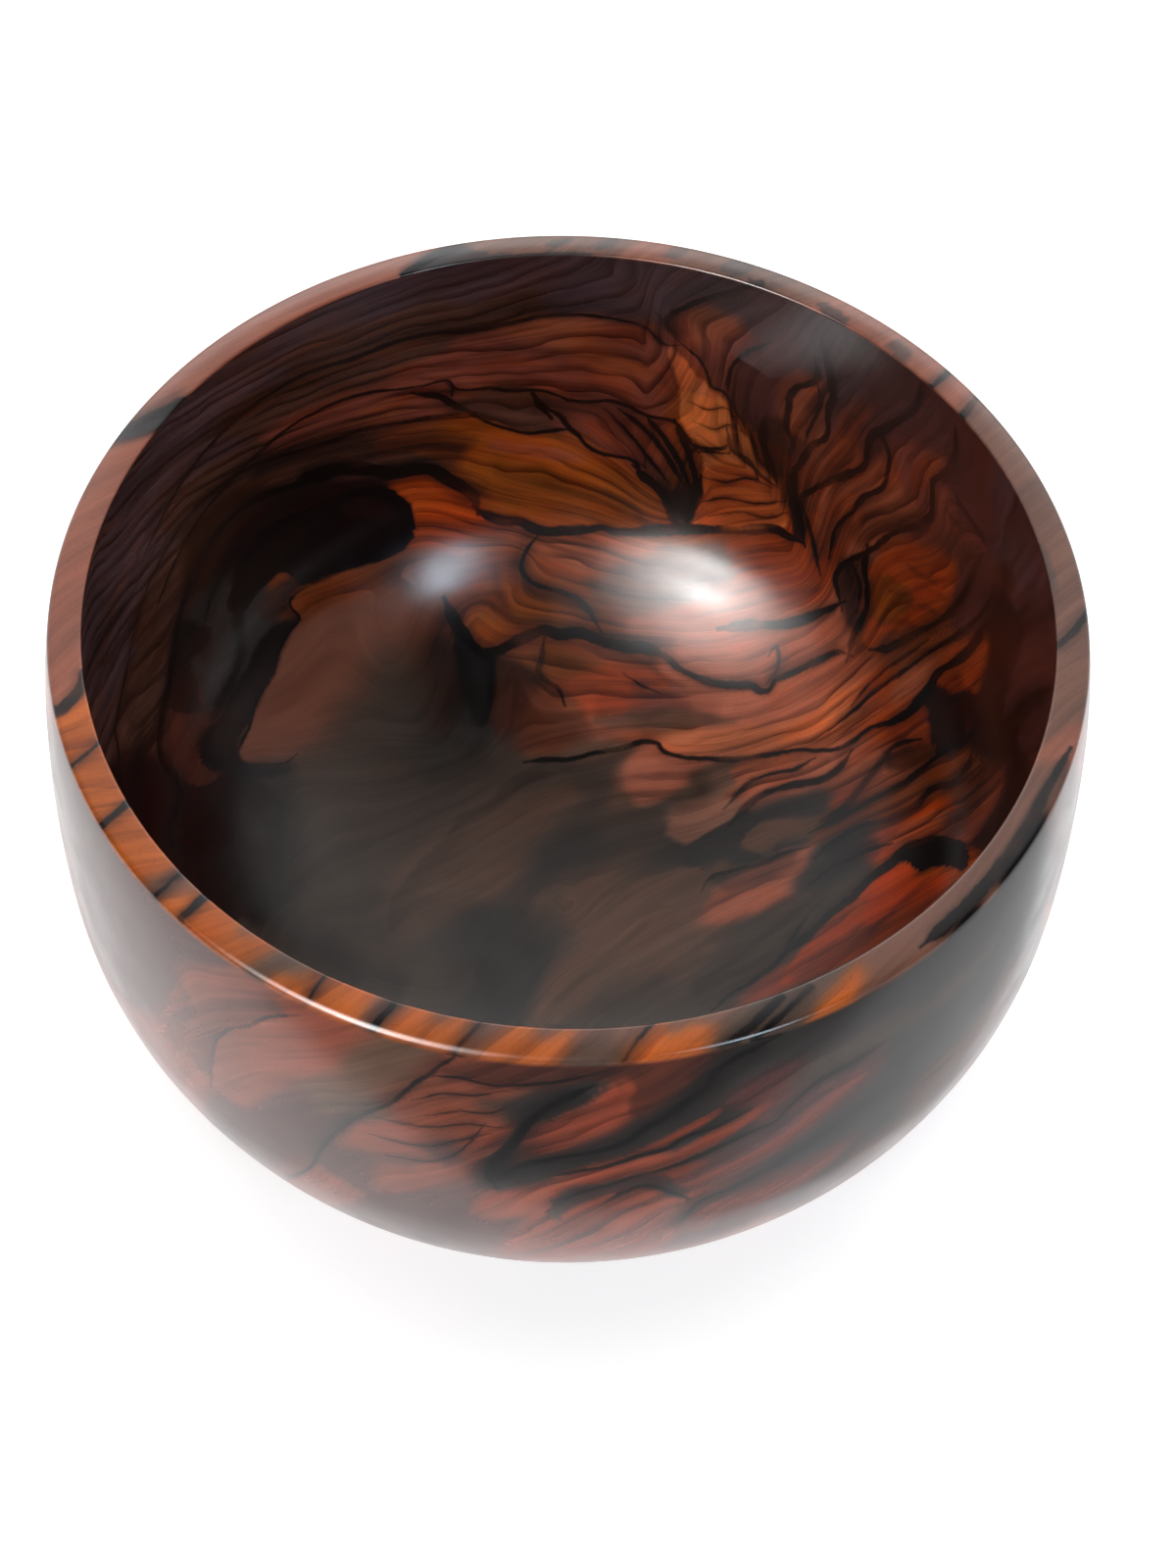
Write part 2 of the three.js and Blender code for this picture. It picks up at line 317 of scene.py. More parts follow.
OUTSIDE_VEINS = (
    Vein(4, 4, 16, 0.6, ((470, 1075), (450, 1087), (440, 1095), (420, 1108), (400, 1125), (378, 1134),
        (357, 1144), (340, 1158), (328, 1172), (318, 1190), (300, 1200), (280, 1205))),
    Vein(3, 8, 10, 0.5, ((440, 1098), (470, 1100), (490, 1105), (510, 1108), (530, 1107), (560, 1105),
        (590, 1100), (610, 1095), (625, 1090), (640, 1082))),
    Vein(2, 5, 5, 0.5, ((425, 1122), (450, 1116), (480, 1118), (510, 1114))),
    Vein(2, 5, 5, 0.5, ((440, 1138), (470, 1134), (500, 1136), (520, 1128))),
    Vein(9, 24, 24, 0.85, ((600, 1110), (580, 1120), (560, 1130), (540, 1145), (530, 1160), (515, 1175),
        (502, 1185), (498, 1200), (505, 1210))),
    Vein(8, 26, 26, 0.85, ((505, 1205), (520, 1195), (550, 1185), (580, 1180), (610, 1175), (640, 1165),
        (660, 1150), (680, 1140), (700, 1125), (720, 1110), (730, 1095), (750, 1080), (770, 1070),
        (790, 1060))),
    line(6, (560, 1200), (590, 1195), (620, 1190), (650, 1180), (680, 1172), (700, 1160), (730, 1150),
        (760, 1135)),
    Vein(5, 16, 16, 0.75, ((560, 1235), (580, 1222), (600, 1215), (620, 1210), (640, 1203), (670, 1195),
        (700, 1185), (730, 1172), (760, 1158), (790, 1145), (800, 1135), (820, 1115), (840, 1100),
        (870, 1085), (900, 1065))),
    line(6, (620, 1225), (640, 1215), (660, 1210), (680, 1215), (700, 1222)),
    Vein(4, 20, 20, 0.75, ((690, 1255), (700, 1240), (715, 1225), (740, 1215), (760, 1205), (790, 1190),
        (820, 1170), (850, 1150), (870, 1135), (900, 1115), (930, 1095))),
    stain(18, 0.7, (790, 1240), (820, 1215), (850, 1190), (870, 1170), (890, 1155), (920, 1130)),
    Vein(3, 60, 0, 0.55, ((215, 1105), (217, 1080), (220, 1062), (235, 1050), (255, 1046), (268, 1040),
        (280, 1037), (300, 1036))),
    stain(14, 0.5, (180, 1000), (190, 1020), (185, 1040), (175, 1055), (180, 1075)),
    line(2, (222, 1140), (232, 1152), (240, 1165)),
    line(2, (1055, 940), (1051, 952)),
    Vein(2, 6, 6, 0.5, ((390, 1142), (420, 1148), (445, 1150), (475, 1147), (505, 1150))),
    Vein(2, 6, 6, 0.5, ((380, 1158), (410, 1166), (440, 1169), (470, 1163), (495, 1158))),
    Vein(2, 8, 6, 0.5, ((400, 1180), (440, 1185), (465, 1177), (480, 1165), (492, 1150))),
    stain(10, 0.5, (440, 1250), (470, 1235), (490, 1215), (505, 1200)),
    stain(16, 0.5, (560, 1097), (600, 1094), (640, 1093), (670, 1087)),
)

# Colour of the wood between the veins: dabs at a pixel, with a radius in pixels
Dab = namedtuple("Dab", "tone radius places")

INSIDE_DABS = (
    Dab("plum", 40, ((400, 300), (500, 285), (600, 288), (660, 295), (780, 312), (840, 335), (870, 375),
        (1035, 545), (1052, 585), (1020, 505))),
    Dab("mauve", 40, ((250, 370), (300, 335), (200, 425), (150, 510), (112, 620), (105, 700), (125, 560))),
    Dab("wine", 24, ((780, 380), (800, 362), (765, 365))),
    Dab("wine", 40, ((900, 395), (960, 440), (1000, 480), (1060, 645), (1045, 675), (1000, 520), (1000, 600),
        (1055, 740))),
    Dab("cocoa", 24, ((350, 345), (430, 322), (520, 312), (270, 415), (200, 505), (160, 610), (145, 690),
        (150, 745), (350, 388), (420, 360), (375, 460), (325, 470), (430, 455), (500, 412), (545, 420),
        (640, 600), (665, 590), (690, 600))),
    Dab("chestnut", 22, ((450, 372), (500, 350), (560, 375), (600, 395), (350, 418), (430, 412), (580, 420),
        (612, 435), (640, 450), (745, 355), (740, 380), (880, 420), (930, 470), (960, 515), (985, 555),
        (400, 450), (460, 400), (660, 400), (690, 365), (640, 342), (660, 720), (990, 840))),
    Dab("copper", 18, ((715, 326), (742, 332), (540, 336), (600, 334), (600, 360), (640, 385), (400, 416),
        (830, 412), (820, 400), (850, 470), (830, 490), (860, 515), (905, 525), (900, 500), (840, 545),
        (950, 470), (925, 695), (880, 770), (870, 790), (900, 800), (925, 790), (560, 560), (620, 560),
        (760, 800), (870, 690), (880, 725), (620, 745), (640, 742), (600, 575))),
    Dab("cinnamon", 20, ((520, 560), (520, 585), (560, 590), (500, 610), (540, 660), (562, 722), (570, 738),
        (600, 662), (590, 625), (560, 755), (890, 650), (660, 738), (900, 640), (945, 650), (925, 665),
        (950, 775), (970, 760), (960, 790), (1000, 800), (640, 665), (905, 612), (400, 600), (360, 605),
        (320, 612), (470, 640), (870, 835), (890, 825))),
    Dab("honey", 18, ((715, 408), (725, 430), (738, 452), (745, 480), (500, 465), (560, 470), (540, 510),
        (600, 490), (620, 520), (580, 525), (650, 525), (730, 500), (740, 520), (775, 515), (480, 445))),
    Dab("olive", 20, ((580, 490), (520, 490), (640, 505), (545, 625), (500, 640), (560, 670), (590, 680))),
    Dab("orange", 20, ((440, 505), (455, 525), (435, 540), (930, 585), (960, 585), (950, 612), (975, 690),
        (990, 675), (920, 740), (945, 742), (620, 690), (605, 700), (625, 718), (800, 572), (830, 600),
        (820, 560), (895, 705), (925, 905), (945, 895), (905, 925), (940, 840), (790, 590), (640, 695))),
    Dab("amber", 16, ((850, 735), (800, 748), (840, 748), (760, 752), (700, 762), (775, 785), (865, 705))),
    Dab("salmon", 26, ((720, 675), (760, 655), (800, 655), (850, 690), (800, 720), (760, 720), (740, 700),
        (840, 640), (660, 790), (760, 915), (790, 892), (735, 925), (805, 795), (700, 650), (740, 620))),
    Dab("brick", 18, ((850, 960), (880, 970), (830, 990), (800, 1000), (1010, 798), (900, 850), (870, 810))),
    Dab("rose", 32, ((290, 695), (262, 750), (280, 735), (325, 660), (370, 632), (345, 650), (402, 628),
        (310, 722), (330, 698), (300, 748))),
    Dab("clay", 18, ((700, 830), (720, 825))),
    Dab("brown", 34, ((720, 920), (680, 945), (700, 975), (650, 990), (520, 890), (590, 925), (600, 985),
        (450, 900), (640, 900))),
    Dab("brown", 20, ((740, 800), (800, 850), (600, 765), (720, 800), (640, 815))),
    Dab("umber", 40, ((350, 800), (400, 830), (330, 850), (360, 920), (480, 800), (430, 940), (430, 1000),
        (480, 870), (320, 880), (540, 805), (590, 805), (640, 845), (640, 1020), (760, 970), (560, 840),
        (380, 760))),
    Dab("umber", 30, ((368, 735), (345, 772), (400, 690), (410, 720))),
    Dab("smoke", 34, ((480, 960), (540, 960), (520, 1000), (590, 865), (560, 880), (500, 1030), (430, 715),
        (460, 770))),
    Dab("smoke", 20, ((740, 855), (700, 870), (820, 822), (220, 650), (230, 695), (260, 660), (660, 885),
        (870, 860), (850, 872), (835, 885), (785, 868))),
    Dab("bark", 22, ((520, 690), (455, 660), (462, 690), (450, 720), (515, 705), (430, 690), (440, 670),
        (215, 555), (230, 530))),
    Dab("maroon", 20, ((240, 905), (190, 770), (160, 810), (140, 780), (1000, 880), (1020, 830), (1040, 780),
        (1030, 760), (1050, 735), (1060, 700), (1020, 670), (1005, 740), (1025, 590), (1015, 625),
        (370, 522), (350, 515), (300, 512), (265, 535))),
    Dab("mahogany", 26, ((210, 800), (230, 830), (250, 850), (220, 870), (195, 840), (260, 890))),
    Dab("garnet", 14, ((185, 735), (195, 750), (190, 720))),
)

RIM_DABS = (
    Dab("rim_tan", 16, ((150, 410), (250, 340), (300, 310), (360, 285), (400, 275), (60, 620), (70, 580),
        (90, 520), (60, 680), (110, 480), (660, 256), (880, 338), (930, 372), (1085, 760))),
    # Partly the wood's own tone, partly painted shade on the rim's right and back
    Dab("rim_dusk", 16, ((500, 252), (560, 250), (620, 250), (720, 268), (790, 290), (1020, 440),
        (1050, 490), (1070, 540), (1090, 600), (1100, 660), (1098, 720), (1000, 895), (930, 962),
        (1060, 800), (1030, 855), (970, 930), (900, 985))),
    Dab("rim_orange", 14, ((75, 750), (90, 790), (110, 815), (140, 870), (160, 880), (205, 935), (245, 965),
        (230, 955), (290, 1000), (350, 1025), (430, 1045), (450, 1055), (530, 1068), (556, 1072),
        (675, 1068), (690, 1062), (715, 1062), (858, 1016), (868, 1006), (690, 1075))),
    # Partly the wood's own tone, partly painted shade on the inner half of the rim's front
    Dab("rim_dusk", 10, ((890, 985), (905, 990), (840, 1010), (885, 1005), (250, 950), (300, 977),
        (350, 1002), (400, 1022), (450, 1036), (500, 1045), (560, 1052), (600, 1055), (640, 1053),
        (690, 1048), (730, 1038), (180, 893))),
    Dab("rim_dark", 12, ((596, 1072), (614, 1070), (740, 1052), (800, 1040), (820, 1025), (835, 1010),
        (845, 1000), (275, 985), (300, 995), (780, 1040))),
    Dab("night", 8, ((1050, 855), (1030, 880), (985, 940), (440, 265), (460, 260), (150, 432), (165, 425))),
)

OUTSIDE_DABS = (
    Dab("claret", 24, ((100, 900), (85, 850), (120, 960), (150, 1010), (170, 950), (75, 800), (230, 1150),
        (250, 1180), (1080, 850), (1085, 800), (300, 1130), (330, 1150), (280, 1160), (360, 1190),
        (430, 1182), (460, 1240), (440, 1225), (400, 1240), (490, 1255))),
    Dab("terracotta", 24, ((270, 1080), (300, 1060), (250, 1100), (310, 1085), (210, 1030), (220, 1020),
        (190, 1060), (330, 1210), (420, 1200), (390, 1165), (190, 1110), (150, 1060))),
    Dab("brown", 22, ((380, 1085), (350, 1105), (340, 1130))),
    Dab("brick", 22, ((560, 1160), (590, 1150), (540, 1165), (620, 1130), (650, 1110), (600, 1135),
        (510, 1165), (640, 1195), (600, 1203), (540, 1222), (500, 1230), (590, 1240), (640, 1230),
        (690, 1195), (680, 1245), (560, 1255), (600, 1265))),
    Dab("garnet", 20, ((700, 1092), (680, 1105), (560, 1095), (600, 1092), (520, 1092), (640, 1092))),
    Dab("wine", 22, ((830, 1130), (860, 1110), (880, 1095), (780, 1110), (800, 1205), (820, 1190),
        (860, 1170), (740, 1180), (720, 1195), (780, 1165), (740, 1228), (760, 1220), (800, 1130))),
    Dab("rust", 16, ((470, 1088), (460, 1128), (470, 1110), (520, 1115), (420, 1120), (450, 1145),
        (480, 1150), (500, 1135))),
    Dab("smoke", 24, ((590, 1115), (560, 1125), (740, 1100), (760, 1085), (800, 1070), (850, 1050),
        (900, 1030), (950, 1010), (980, 980), (1000, 960), (1020, 930), (1040, 900), (1060, 880),
        (930, 1060), (960, 1040), (1000, 1010), (880, 1130), (850, 1160), (900, 1140), (640, 1170),
        (700, 1130), (725, 1150), (545, 1198), (725, 1170), (520, 1125))),
    Dab("umber", 18, ((880, 1060), (920, 1040), (960, 1015), (990, 990), (840, 1085))),
    Dab("cocoa", 20, ((1010, 1040), (1040, 1000), (1060, 970), (980, 1080), (940, 1110), (900, 1165))),
)

# Part of the well where tones run into each other slowly
WELL_OUTLINE = (
    (275, 800), (320, 740), (345, 690), (380, 640), (440, 635), (462, 700), (480, 765), (560, 790),
    (640, 830), (700, 900), (660, 1010), (560, 1060), (440, 1040), (340, 980), (285, 900)
)

# Clear-cut patches of the figure: closed outlines in pixels, with the softness of their
# edge in millimetres and how much of the wood below they cover
Leaf = namedtuple("Leaf", "tone soft cover outline")

LEAVES = (
    Leaf("night", 0.6, 1.0, ((330, 510), (298, 524), (268, 542), (248, 565), (238, 590), (234, 622),
        (248, 624), (260, 608), (274, 594), (290, 584), (306, 598), (330, 590), (360, 581), (390, 573),
        (408, 564), (422, 549), (426, 530), (420, 514), (406, 503), (390, 496), (370, 498), (350, 503))),
    Leaf("night", 1.0, 0.92, ((306, 632), (297, 646), (288, 664), (280, 686), (268, 708), (257, 730),
        (247, 752), (243, 770), (252, 780), (275, 783), (296, 784), (280, 794), (250, 796), (225, 788),
        (207, 780), (204, 762), (208, 745), (222, 728), (236, 706), (250, 684), (260, 662), (272, 646),
        (290, 634))),
    Leaf("night", 1.2, 0.85, ((176, 640), (190, 632), (212, 640), (216, 655), (208, 672), (196, 668),
        (198, 690), (203, 715), (200, 728), (182, 728), (172, 715), (172, 685))),
    Leaf("night", 1.2, 0.8, ((238, 618), (247, 622), (250, 645), (250, 668), (243, 692), (233, 716),
        (222, 738), (212, 745), (214, 728), (226, 705), (236, 685), (240, 662), (238, 640))),
    Leaf("bark", 0.8, 0.8, ((262, 618), (276, 602), (296, 588), (312, 578), (316, 584), (304, 600),
        (294, 614), (284, 628), (268, 634))),
    Leaf("night", 1.0, 1.0, ((462, 645), (472, 645), (482, 656), (494, 664), (504, 668), (507, 690),
        (504, 712), (498, 735), (488, 742), (478, 725), (470, 700), (464, 672))),
    Leaf("night", 1.0, 0.75, ((672, 492), (690, 500), (712, 488), (714, 505), (704, 530), (696, 541),
        (688, 538), (682, 520))),
    Leaf("bark", 1.4, 0.8, ((770, 432), (782, 426), (800, 430), (804, 450), (800, 480), (792, 492),
        (782, 480), (776, 458))),
    Leaf("night", 1.0, 0.75, ((852, 592), (860, 578), (876, 571), (887, 564), (885, 585), (881, 606),
        (873, 626), (866, 640), (860, 622), (855, 606))),
    Leaf("night", 0.5, 0.9, ((802, 480), (814, 486), (816, 515), (820, 548), (812, 552), (806, 530),
        (803, 505))),
    Leaf("night", 1.2, 0.95, ((940, 708), (955, 699), (972, 705), (992, 704), (1008, 716), (1002, 742),
        (988, 758), (968, 772), (952, 768), (948, 745), (944, 726))),
    Leaf("bark", 1.3, 0.85, ((902, 768), (928, 762), (950, 757), (962, 762), (945, 776), (925, 786),
        (905, 785))),
    Leaf("night", 0.5, 1.0, ((912, 880), (925, 868), (945, 860), (970, 858), (985, 862), (990, 875),
        (985, 890), (970, 885), (950, 886), (940, 892), (930, 885), (920, 880))),
    Leaf("orange", 0.5, 0.8, ((905, 885), (925, 880), (940, 893), (955, 888), (968, 885), (972, 895),
        (970, 905), (940, 930), (900, 960), (850, 985), (800, 1005), (805, 985), (830, 955), (860, 920))),
    Leaf("salmon", 1.8, 0.75, ((815, 868), (822, 880), (805, 895), (785, 915), (760, 930), (735, 938),
        (720, 930), (728, 912), (745, 898), (765, 888), (785, 880), (800, 870))),
    Leaf("brick", 0.4, 0.9, ((1005, 790), (1018, 785), (1025, 795), (1015, 805), (1003, 802))),
    Leaf("orange", 0.4, 0.95, ((1008, 655), (1006, 668), (994, 683), (982, 694), (970, 698), (962, 694),
        (966, 684), (980, 674), (995, 662))),
    Leaf("orange", 0.4, 0.9, ((905, 742), (920, 730), (935, 727), (948, 736), (946, 748), (936, 756),
        (925, 755), (905, 752))),
    Leaf("orange", 0.6, 0.75, ((885, 580), (900, 568), (920, 565), (945, 572), (965, 590), (975, 605),
        (965, 620), (945, 635), (925, 640), (905, 645), (890, 660), (880, 650), (885, 620), (892, 600))),
    Leaf("copper", 0.5, 0.85, ((908, 868), (915, 850), (935, 835), (960, 825), (975, 835), (965, 850),
        (940, 858), (925, 865))),
    Leaf("orange", 0.5, 0.5, ((405, 497), (420, 490), (440, 488), (455, 495), (470, 505), (480, 515),
        (488, 525), (475, 540), (450, 545), (430, 550), (424, 540), (422, 520))),
    Leaf("honey", 0.7, 0.6, ((400, 435), (440, 428), (480, 422), (520, 438), (560, 443), (590, 440),
        (610, 455), (640, 470), (655, 490), (675, 510), (685, 530), (650, 540), (610, 535), (570, 540),
        (540, 535), (510, 525), (490, 515), (470, 490), (445, 470), (410, 460), (380, 455))),
    Leaf("gold", 0.6, 0.85, ((694, 398), (720, 402), (738, 408), (750, 430), (765, 450), (775, 475),
        (790, 490), (795, 505), (800, 520), (802, 535), (790, 538), (720, 538), (708, 535), (715, 505),
        (718, 480), (712, 455), (700, 440), (694, 420))),
    Leaf("amber", 0.6, 0.9, ((682, 352), (700, 370), (716, 388), (728, 400), (736, 407), (700, 402),
        (692, 388), (684, 368))),
    Leaf("maroon", 1.4, 0.85, ((1014, 602), (1034, 614), (1047, 640), (1041, 668), (1031, 700), (1018, 728),
        (1004, 750), (985, 757), (970, 740), (982, 715), (1001, 700), (1012, 675), (1017, 645))),
    Leaf("wine", 0.8, 0.9, ((1047, 645), (1058, 640), (1067, 655), (1075, 688), (1073, 701), (1052, 704),
        (1038, 710), (1026, 728), (1030, 705), (1040, 678))),
    Leaf("maroon", 0.9, 0.85, ((1068, 704), (1051, 708), (1040, 716), (1030, 736), (1018, 756), (1003, 773),
        (1014, 776), (1030, 764), (1041, 745), (1052, 729), (1070, 716))),
    Leaf("wine", 0.8, 0.9, ((1040, 744), (1052, 730), (1066, 722), (1069, 738), (1061, 760), (1047, 765),
        (1039, 756))),
    Leaf("wine", 0.8, 0.7, ((1031, 600), (1045, 606), (1058, 618), (1056, 630), (1042, 626), (1033, 614))),
    Leaf("garnet", 0.9, 0.65, ((172, 725), (185, 728), (205, 730), (206, 745), (203, 760), (206, 775),
        (215, 785), (225, 792), (215, 802), (200, 804), (190, 797), (180, 790), (173, 778), (169, 760),
        (170, 740))),
    Leaf("orange", 0.6, 0.65, ((572, 700), (590, 692), (605, 695), (625, 710), (640, 720), (635, 728),
        (610, 722), (590, 712))),
    Leaf("salmon", 2.0, 0.85, ((644, 776), (655, 764), (668, 763), (684, 776), (699, 790), (700, 800),
        (686, 807), (668, 817), (652, 820), (641, 805), (638, 790))),
    Leaf("garnet", 2.0, 0.5, ((510, 712), (530, 698), (548, 702), (562, 716), (580, 728), (604, 738),
        (600, 758), (565, 766), (530, 768), (510, 757), (504, 735))),
    Leaf("brown", 1.4, 0.75, ((598, 735), (640, 728), (680, 722), (722, 727), (752, 738), (722, 742),
        (680, 745), (640, 742), (612, 741))),
    Leaf("amber", 0.8, 0.7, ((755, 760), (790, 746), (830, 741), (862, 733), (880, 722), (872, 738),
        (850, 754), (820, 759), (780, 764))),
    Leaf("copper", 0.8, 0.85, ((745, 785), (760, 778), (790, 775), (820, 772), (845, 770), (840, 785),
        (815, 795), (790, 800), (770, 800), (755, 803))),
    Leaf("clay", 1.2, 0.85, ((680, 850), (690, 830), (700, 820), (730, 815), (755, 820), (740, 840),
        (715, 855), (700, 862))),
    Leaf("brown", 1.0, 0.85, ((755, 860), (765, 845), (790, 838), (820, 838), (840, 840), (830, 848),
        (800, 855), (785, 870), (770, 870))),
    Leaf("smoke", 1.2, 0.65, ((700, 862), (730, 845), (760, 830), (775, 818), (800, 812), (830, 815),
        (850, 825), (845, 832), (810, 830), (785, 832), (765, 850), (750, 865), (735, 880), (720, 890),
        (700, 885))),
    Leaf("smoke", 3.0, 0.7, ((600, 845), (615, 855), (580, 880), (545, 915), (510, 945), (485, 955),
        (500, 930), (535, 895), (565, 865))),
    Leaf("brown", 2.0, 0.9, ((715, 878), (718, 895), (700, 915), (680, 935), (655, 955), (630, 975),
        (610, 1000), (595, 1030), (575, 1045), (560, 1045), (570, 1010), (590, 975), (620, 950), (640, 930),
        (660, 905), (690, 890))),
    Leaf("brown", 3.5, 0.6, ((395, 905), (420, 870), (450, 845), (480, 830), (510, 812), (545, 805),
        (580, 800), (590, 815), (570, 835), (545, 860), (520, 880), (500, 900), (480, 920), (450, 945),
        (420, 955), (400, 950))),
    Leaf("mahogany", 1.4, 1.0, ((175, 795), (200, 800), (225, 792), (250, 797), (272, 800), (285, 815),
        (290, 850), (288, 890), (278, 925), (265, 945), (245, 930), (215, 890), (190, 862), (176, 840))),
    Leaf("terracotta", 0.9, 0.85, ((219, 1088), (222, 1066), (240, 1050), (262, 1042), (282, 1037),
        (305, 1038), (325, 1048), (335, 1068), (325, 1085), (295, 1092), (260, 1100), (235, 1100))),
    Leaf("terracotta", 2.0, 0.75, ((170, 1050), (165, 1030), (180, 1010), (200, 1000), (225, 990),
        (245, 985), (258, 995), (262, 1020), (255, 1038), (235, 1048), (220, 1062), (215, 1080), (212, 1096),
        (200, 1100), (185, 1085), (172, 1070))),
    Leaf("terracotta", 0.8, 0.85, ((355, 1158), (372, 1147), (398, 1158), (428, 1170), (440, 1178),
        (415, 1182), (385, 1175), (365, 1168))),
    Leaf("terracotta", 0.8, 0.8, ((395, 1207), (410, 1197), (430, 1188), (445, 1185), (455, 1195),
        (440, 1208), (420, 1215), (400, 1215))),
    Leaf("smoke", 0.8, 0.9, ((602, 1100), (576, 1112), (548, 1127), (530, 1145), (518, 1165), (502, 1185),
        (497, 1200), (507, 1212), (535, 1204), (522, 1188), (530, 1171), (538, 1151), (562, 1141),
        (592, 1129), (612, 1112))),
    Leaf("smoke", 0.8, 0.9, ((505, 1208), (540, 1203), (580, 1195), (620, 1183), (650, 1170), (680, 1152),
        (702, 1138), (728, 1112), (748, 1092), (768, 1072), (742, 1070), (726, 1086), (706, 1110),
        (681, 1130), (655, 1150), (625, 1167), (590, 1179), (550, 1182), (520, 1190))),
    Leaf("brick", 0.5, 0.9, ((536, 1168), (540, 1154), (558, 1146), (580, 1138), (602, 1126), (624, 1108),
        (632, 1112), (624, 1130), (612, 1147), (596, 1162), (576, 1173), (555, 1178), (541, 1176))),
    Leaf("garnet", 0.9, 0.9, ((640, 1098), (650, 1086), (680, 1078), (732, 1070), (723, 1086), (702, 1108),
        (676, 1128), (656, 1141), (641, 1130), (648, 1112))),
    Leaf("garnet", 1.0, 0.85, ((480, 1084), (520, 1087), (560, 1090), (600, 1088), (642, 1083), (626, 1094),
        (600, 1103), (570, 1109), (540, 1111), (505, 1106), (475, 1100), (452, 1093))),
    Leaf("brick", 0.7, 0.7, ((565, 1199), (600, 1190), (640, 1178), (680, 1161), (735, 1132), (690, 1165),
        (650, 1183), (610, 1196), (570, 1204))),
    Leaf("brick", 0.8, 0.75, ((602, 1204), (640, 1192), (680, 1178), (720, 1160), (790, 1122), (740, 1162),
        (700, 1182), (660, 1197), (612, 1209))),
    Leaf("smoke", 0.8, 0.85, ((560, 1242), (565, 1226), (580, 1214), (610, 1208), (640, 1203), (670, 1199),
        (690, 1206), (702, 1221), (690, 1223), (660, 1213), (630, 1214), (600, 1226), (581, 1233),
        (571, 1246))),
    Leaf("brick", 0.6, 0.8, ((620, 1231), (622, 1222), (640, 1216), (670, 1218), (702, 1227), (703, 1233),
        (680, 1237), (640, 1237))),
    Leaf("terracotta", 0.9, 0.8, ((490, 1241), (500, 1226), (520, 1218), (550, 1214), (563, 1216),
        (555, 1229), (530, 1239), (505, 1243))),
    Leaf("brick", 0.8, 0.75, ((565, 1271), (566, 1251), (578, 1239), (600, 1234), (616, 1239), (613, 1256),
        (600, 1271), (580, 1276))),
    Leaf("brick", 1.0, 0.6, ((695, 1247), (720, 1231), (750, 1221), (790, 1206), (830, 1186), (862, 1165),
        (850, 1182), (815, 1206), (780, 1223), (740, 1241), (710, 1256))),
    Leaf("brick", 1.0, 0.5, ((690, 1207), (720, 1197), (760, 1180), (800, 1156), (830, 1131), (860, 1105),
        (882, 1089), (873, 1106), (846, 1131), (816, 1157), (780, 1181), (740, 1201), (705, 1214))),
    Leaf("rim_grey", 0.5, 0.9, ((418, 278), (430, 268), (450, 258), (475, 253), (500, 258), (560, 257),
        (600, 258), (600, 262), (540, 264), (500, 268), (460, 272), (430, 279))),
    Leaf("rim_grey", 0.5, 0.8, ((552, 250), (566, 244), (584, 242), (580, 248), (566, 252))),
    Leaf("rim_grey", 0.5, 0.7, ((600, 254), (616, 244), (632, 244), (622, 254))),
    Leaf("rim_grey", 0.5, 0.7, ((672, 262), (690, 250), (706, 252), (692, 264))),
    Leaf("rim_grey", 0.5, 0.7, ((732, 276), (748, 262), (772, 268), (756, 284))),
    Leaf("rim_grey", 0.6, 0.8, ((832, 308), (846, 310), (866, 326), (858, 335), (842, 326))),
    Leaf("rim_grey", 0.6, 0.7, ((903, 352), (915, 346), (930, 360), (920, 370))),
    Leaf("rim_grey", 0.7, 0.7, ((122, 446), (150, 428), (175, 415), (190, 409), (184, 420), (168, 433),
        (142, 444))),
    Leaf("rim_grey", 0.7, 0.6, ((1058, 556), (1066, 560), (1078, 590), (1076, 604), (1066, 590))),
)

# Smaller patches that lie on the ones above
MARKS = (
    Leaf("maroon", 0.8, 0.8, ((345, 518), (365, 508), (390, 510), (402, 518), (405, 528), (385, 532),
        (360, 528))),
    Leaf("flame", 0.9, 0.85, ((895, 900), (910, 888), (925, 884), (940, 897), (968, 890), (968, 902),
        (945, 918), (915, 932), (890, 945), (880, 935))),
    Leaf("brick", 1.4, 0.6, ((840, 962), (880, 945), (910, 945), (880, 968), (840, 985), (810, 998),
        (815, 985))),
    Leaf("orange", 1.0, 0.7, ((716, 478), (740, 474), (765, 480), (790, 492), (800, 510), (802, 532),
        (760, 536), (712, 534), (716, 505))),
    Leaf("chestnut", 0.8, 0.9, ((722, 505), (745, 508), (775, 512), (796, 522), (780, 526), (745, 520),
        (722, 516))),
    Leaf("olive", 1.2, 0.9, ((500, 470), (540, 478), (580, 488), (620, 500), (650, 512), (640, 520),
        (600, 512), (560, 500), (510, 490))),
    Leaf("chestnut", 1.0, 0.6, ((500, 448), (540, 452), (575, 458), (600, 470), (570, 470), (530, 464),
        (500, 458))),
    Leaf("olive", 1.0, 0.9, ((886, 596), (905, 588), (925, 600), (930, 622), (905, 636), (888, 630))),
)

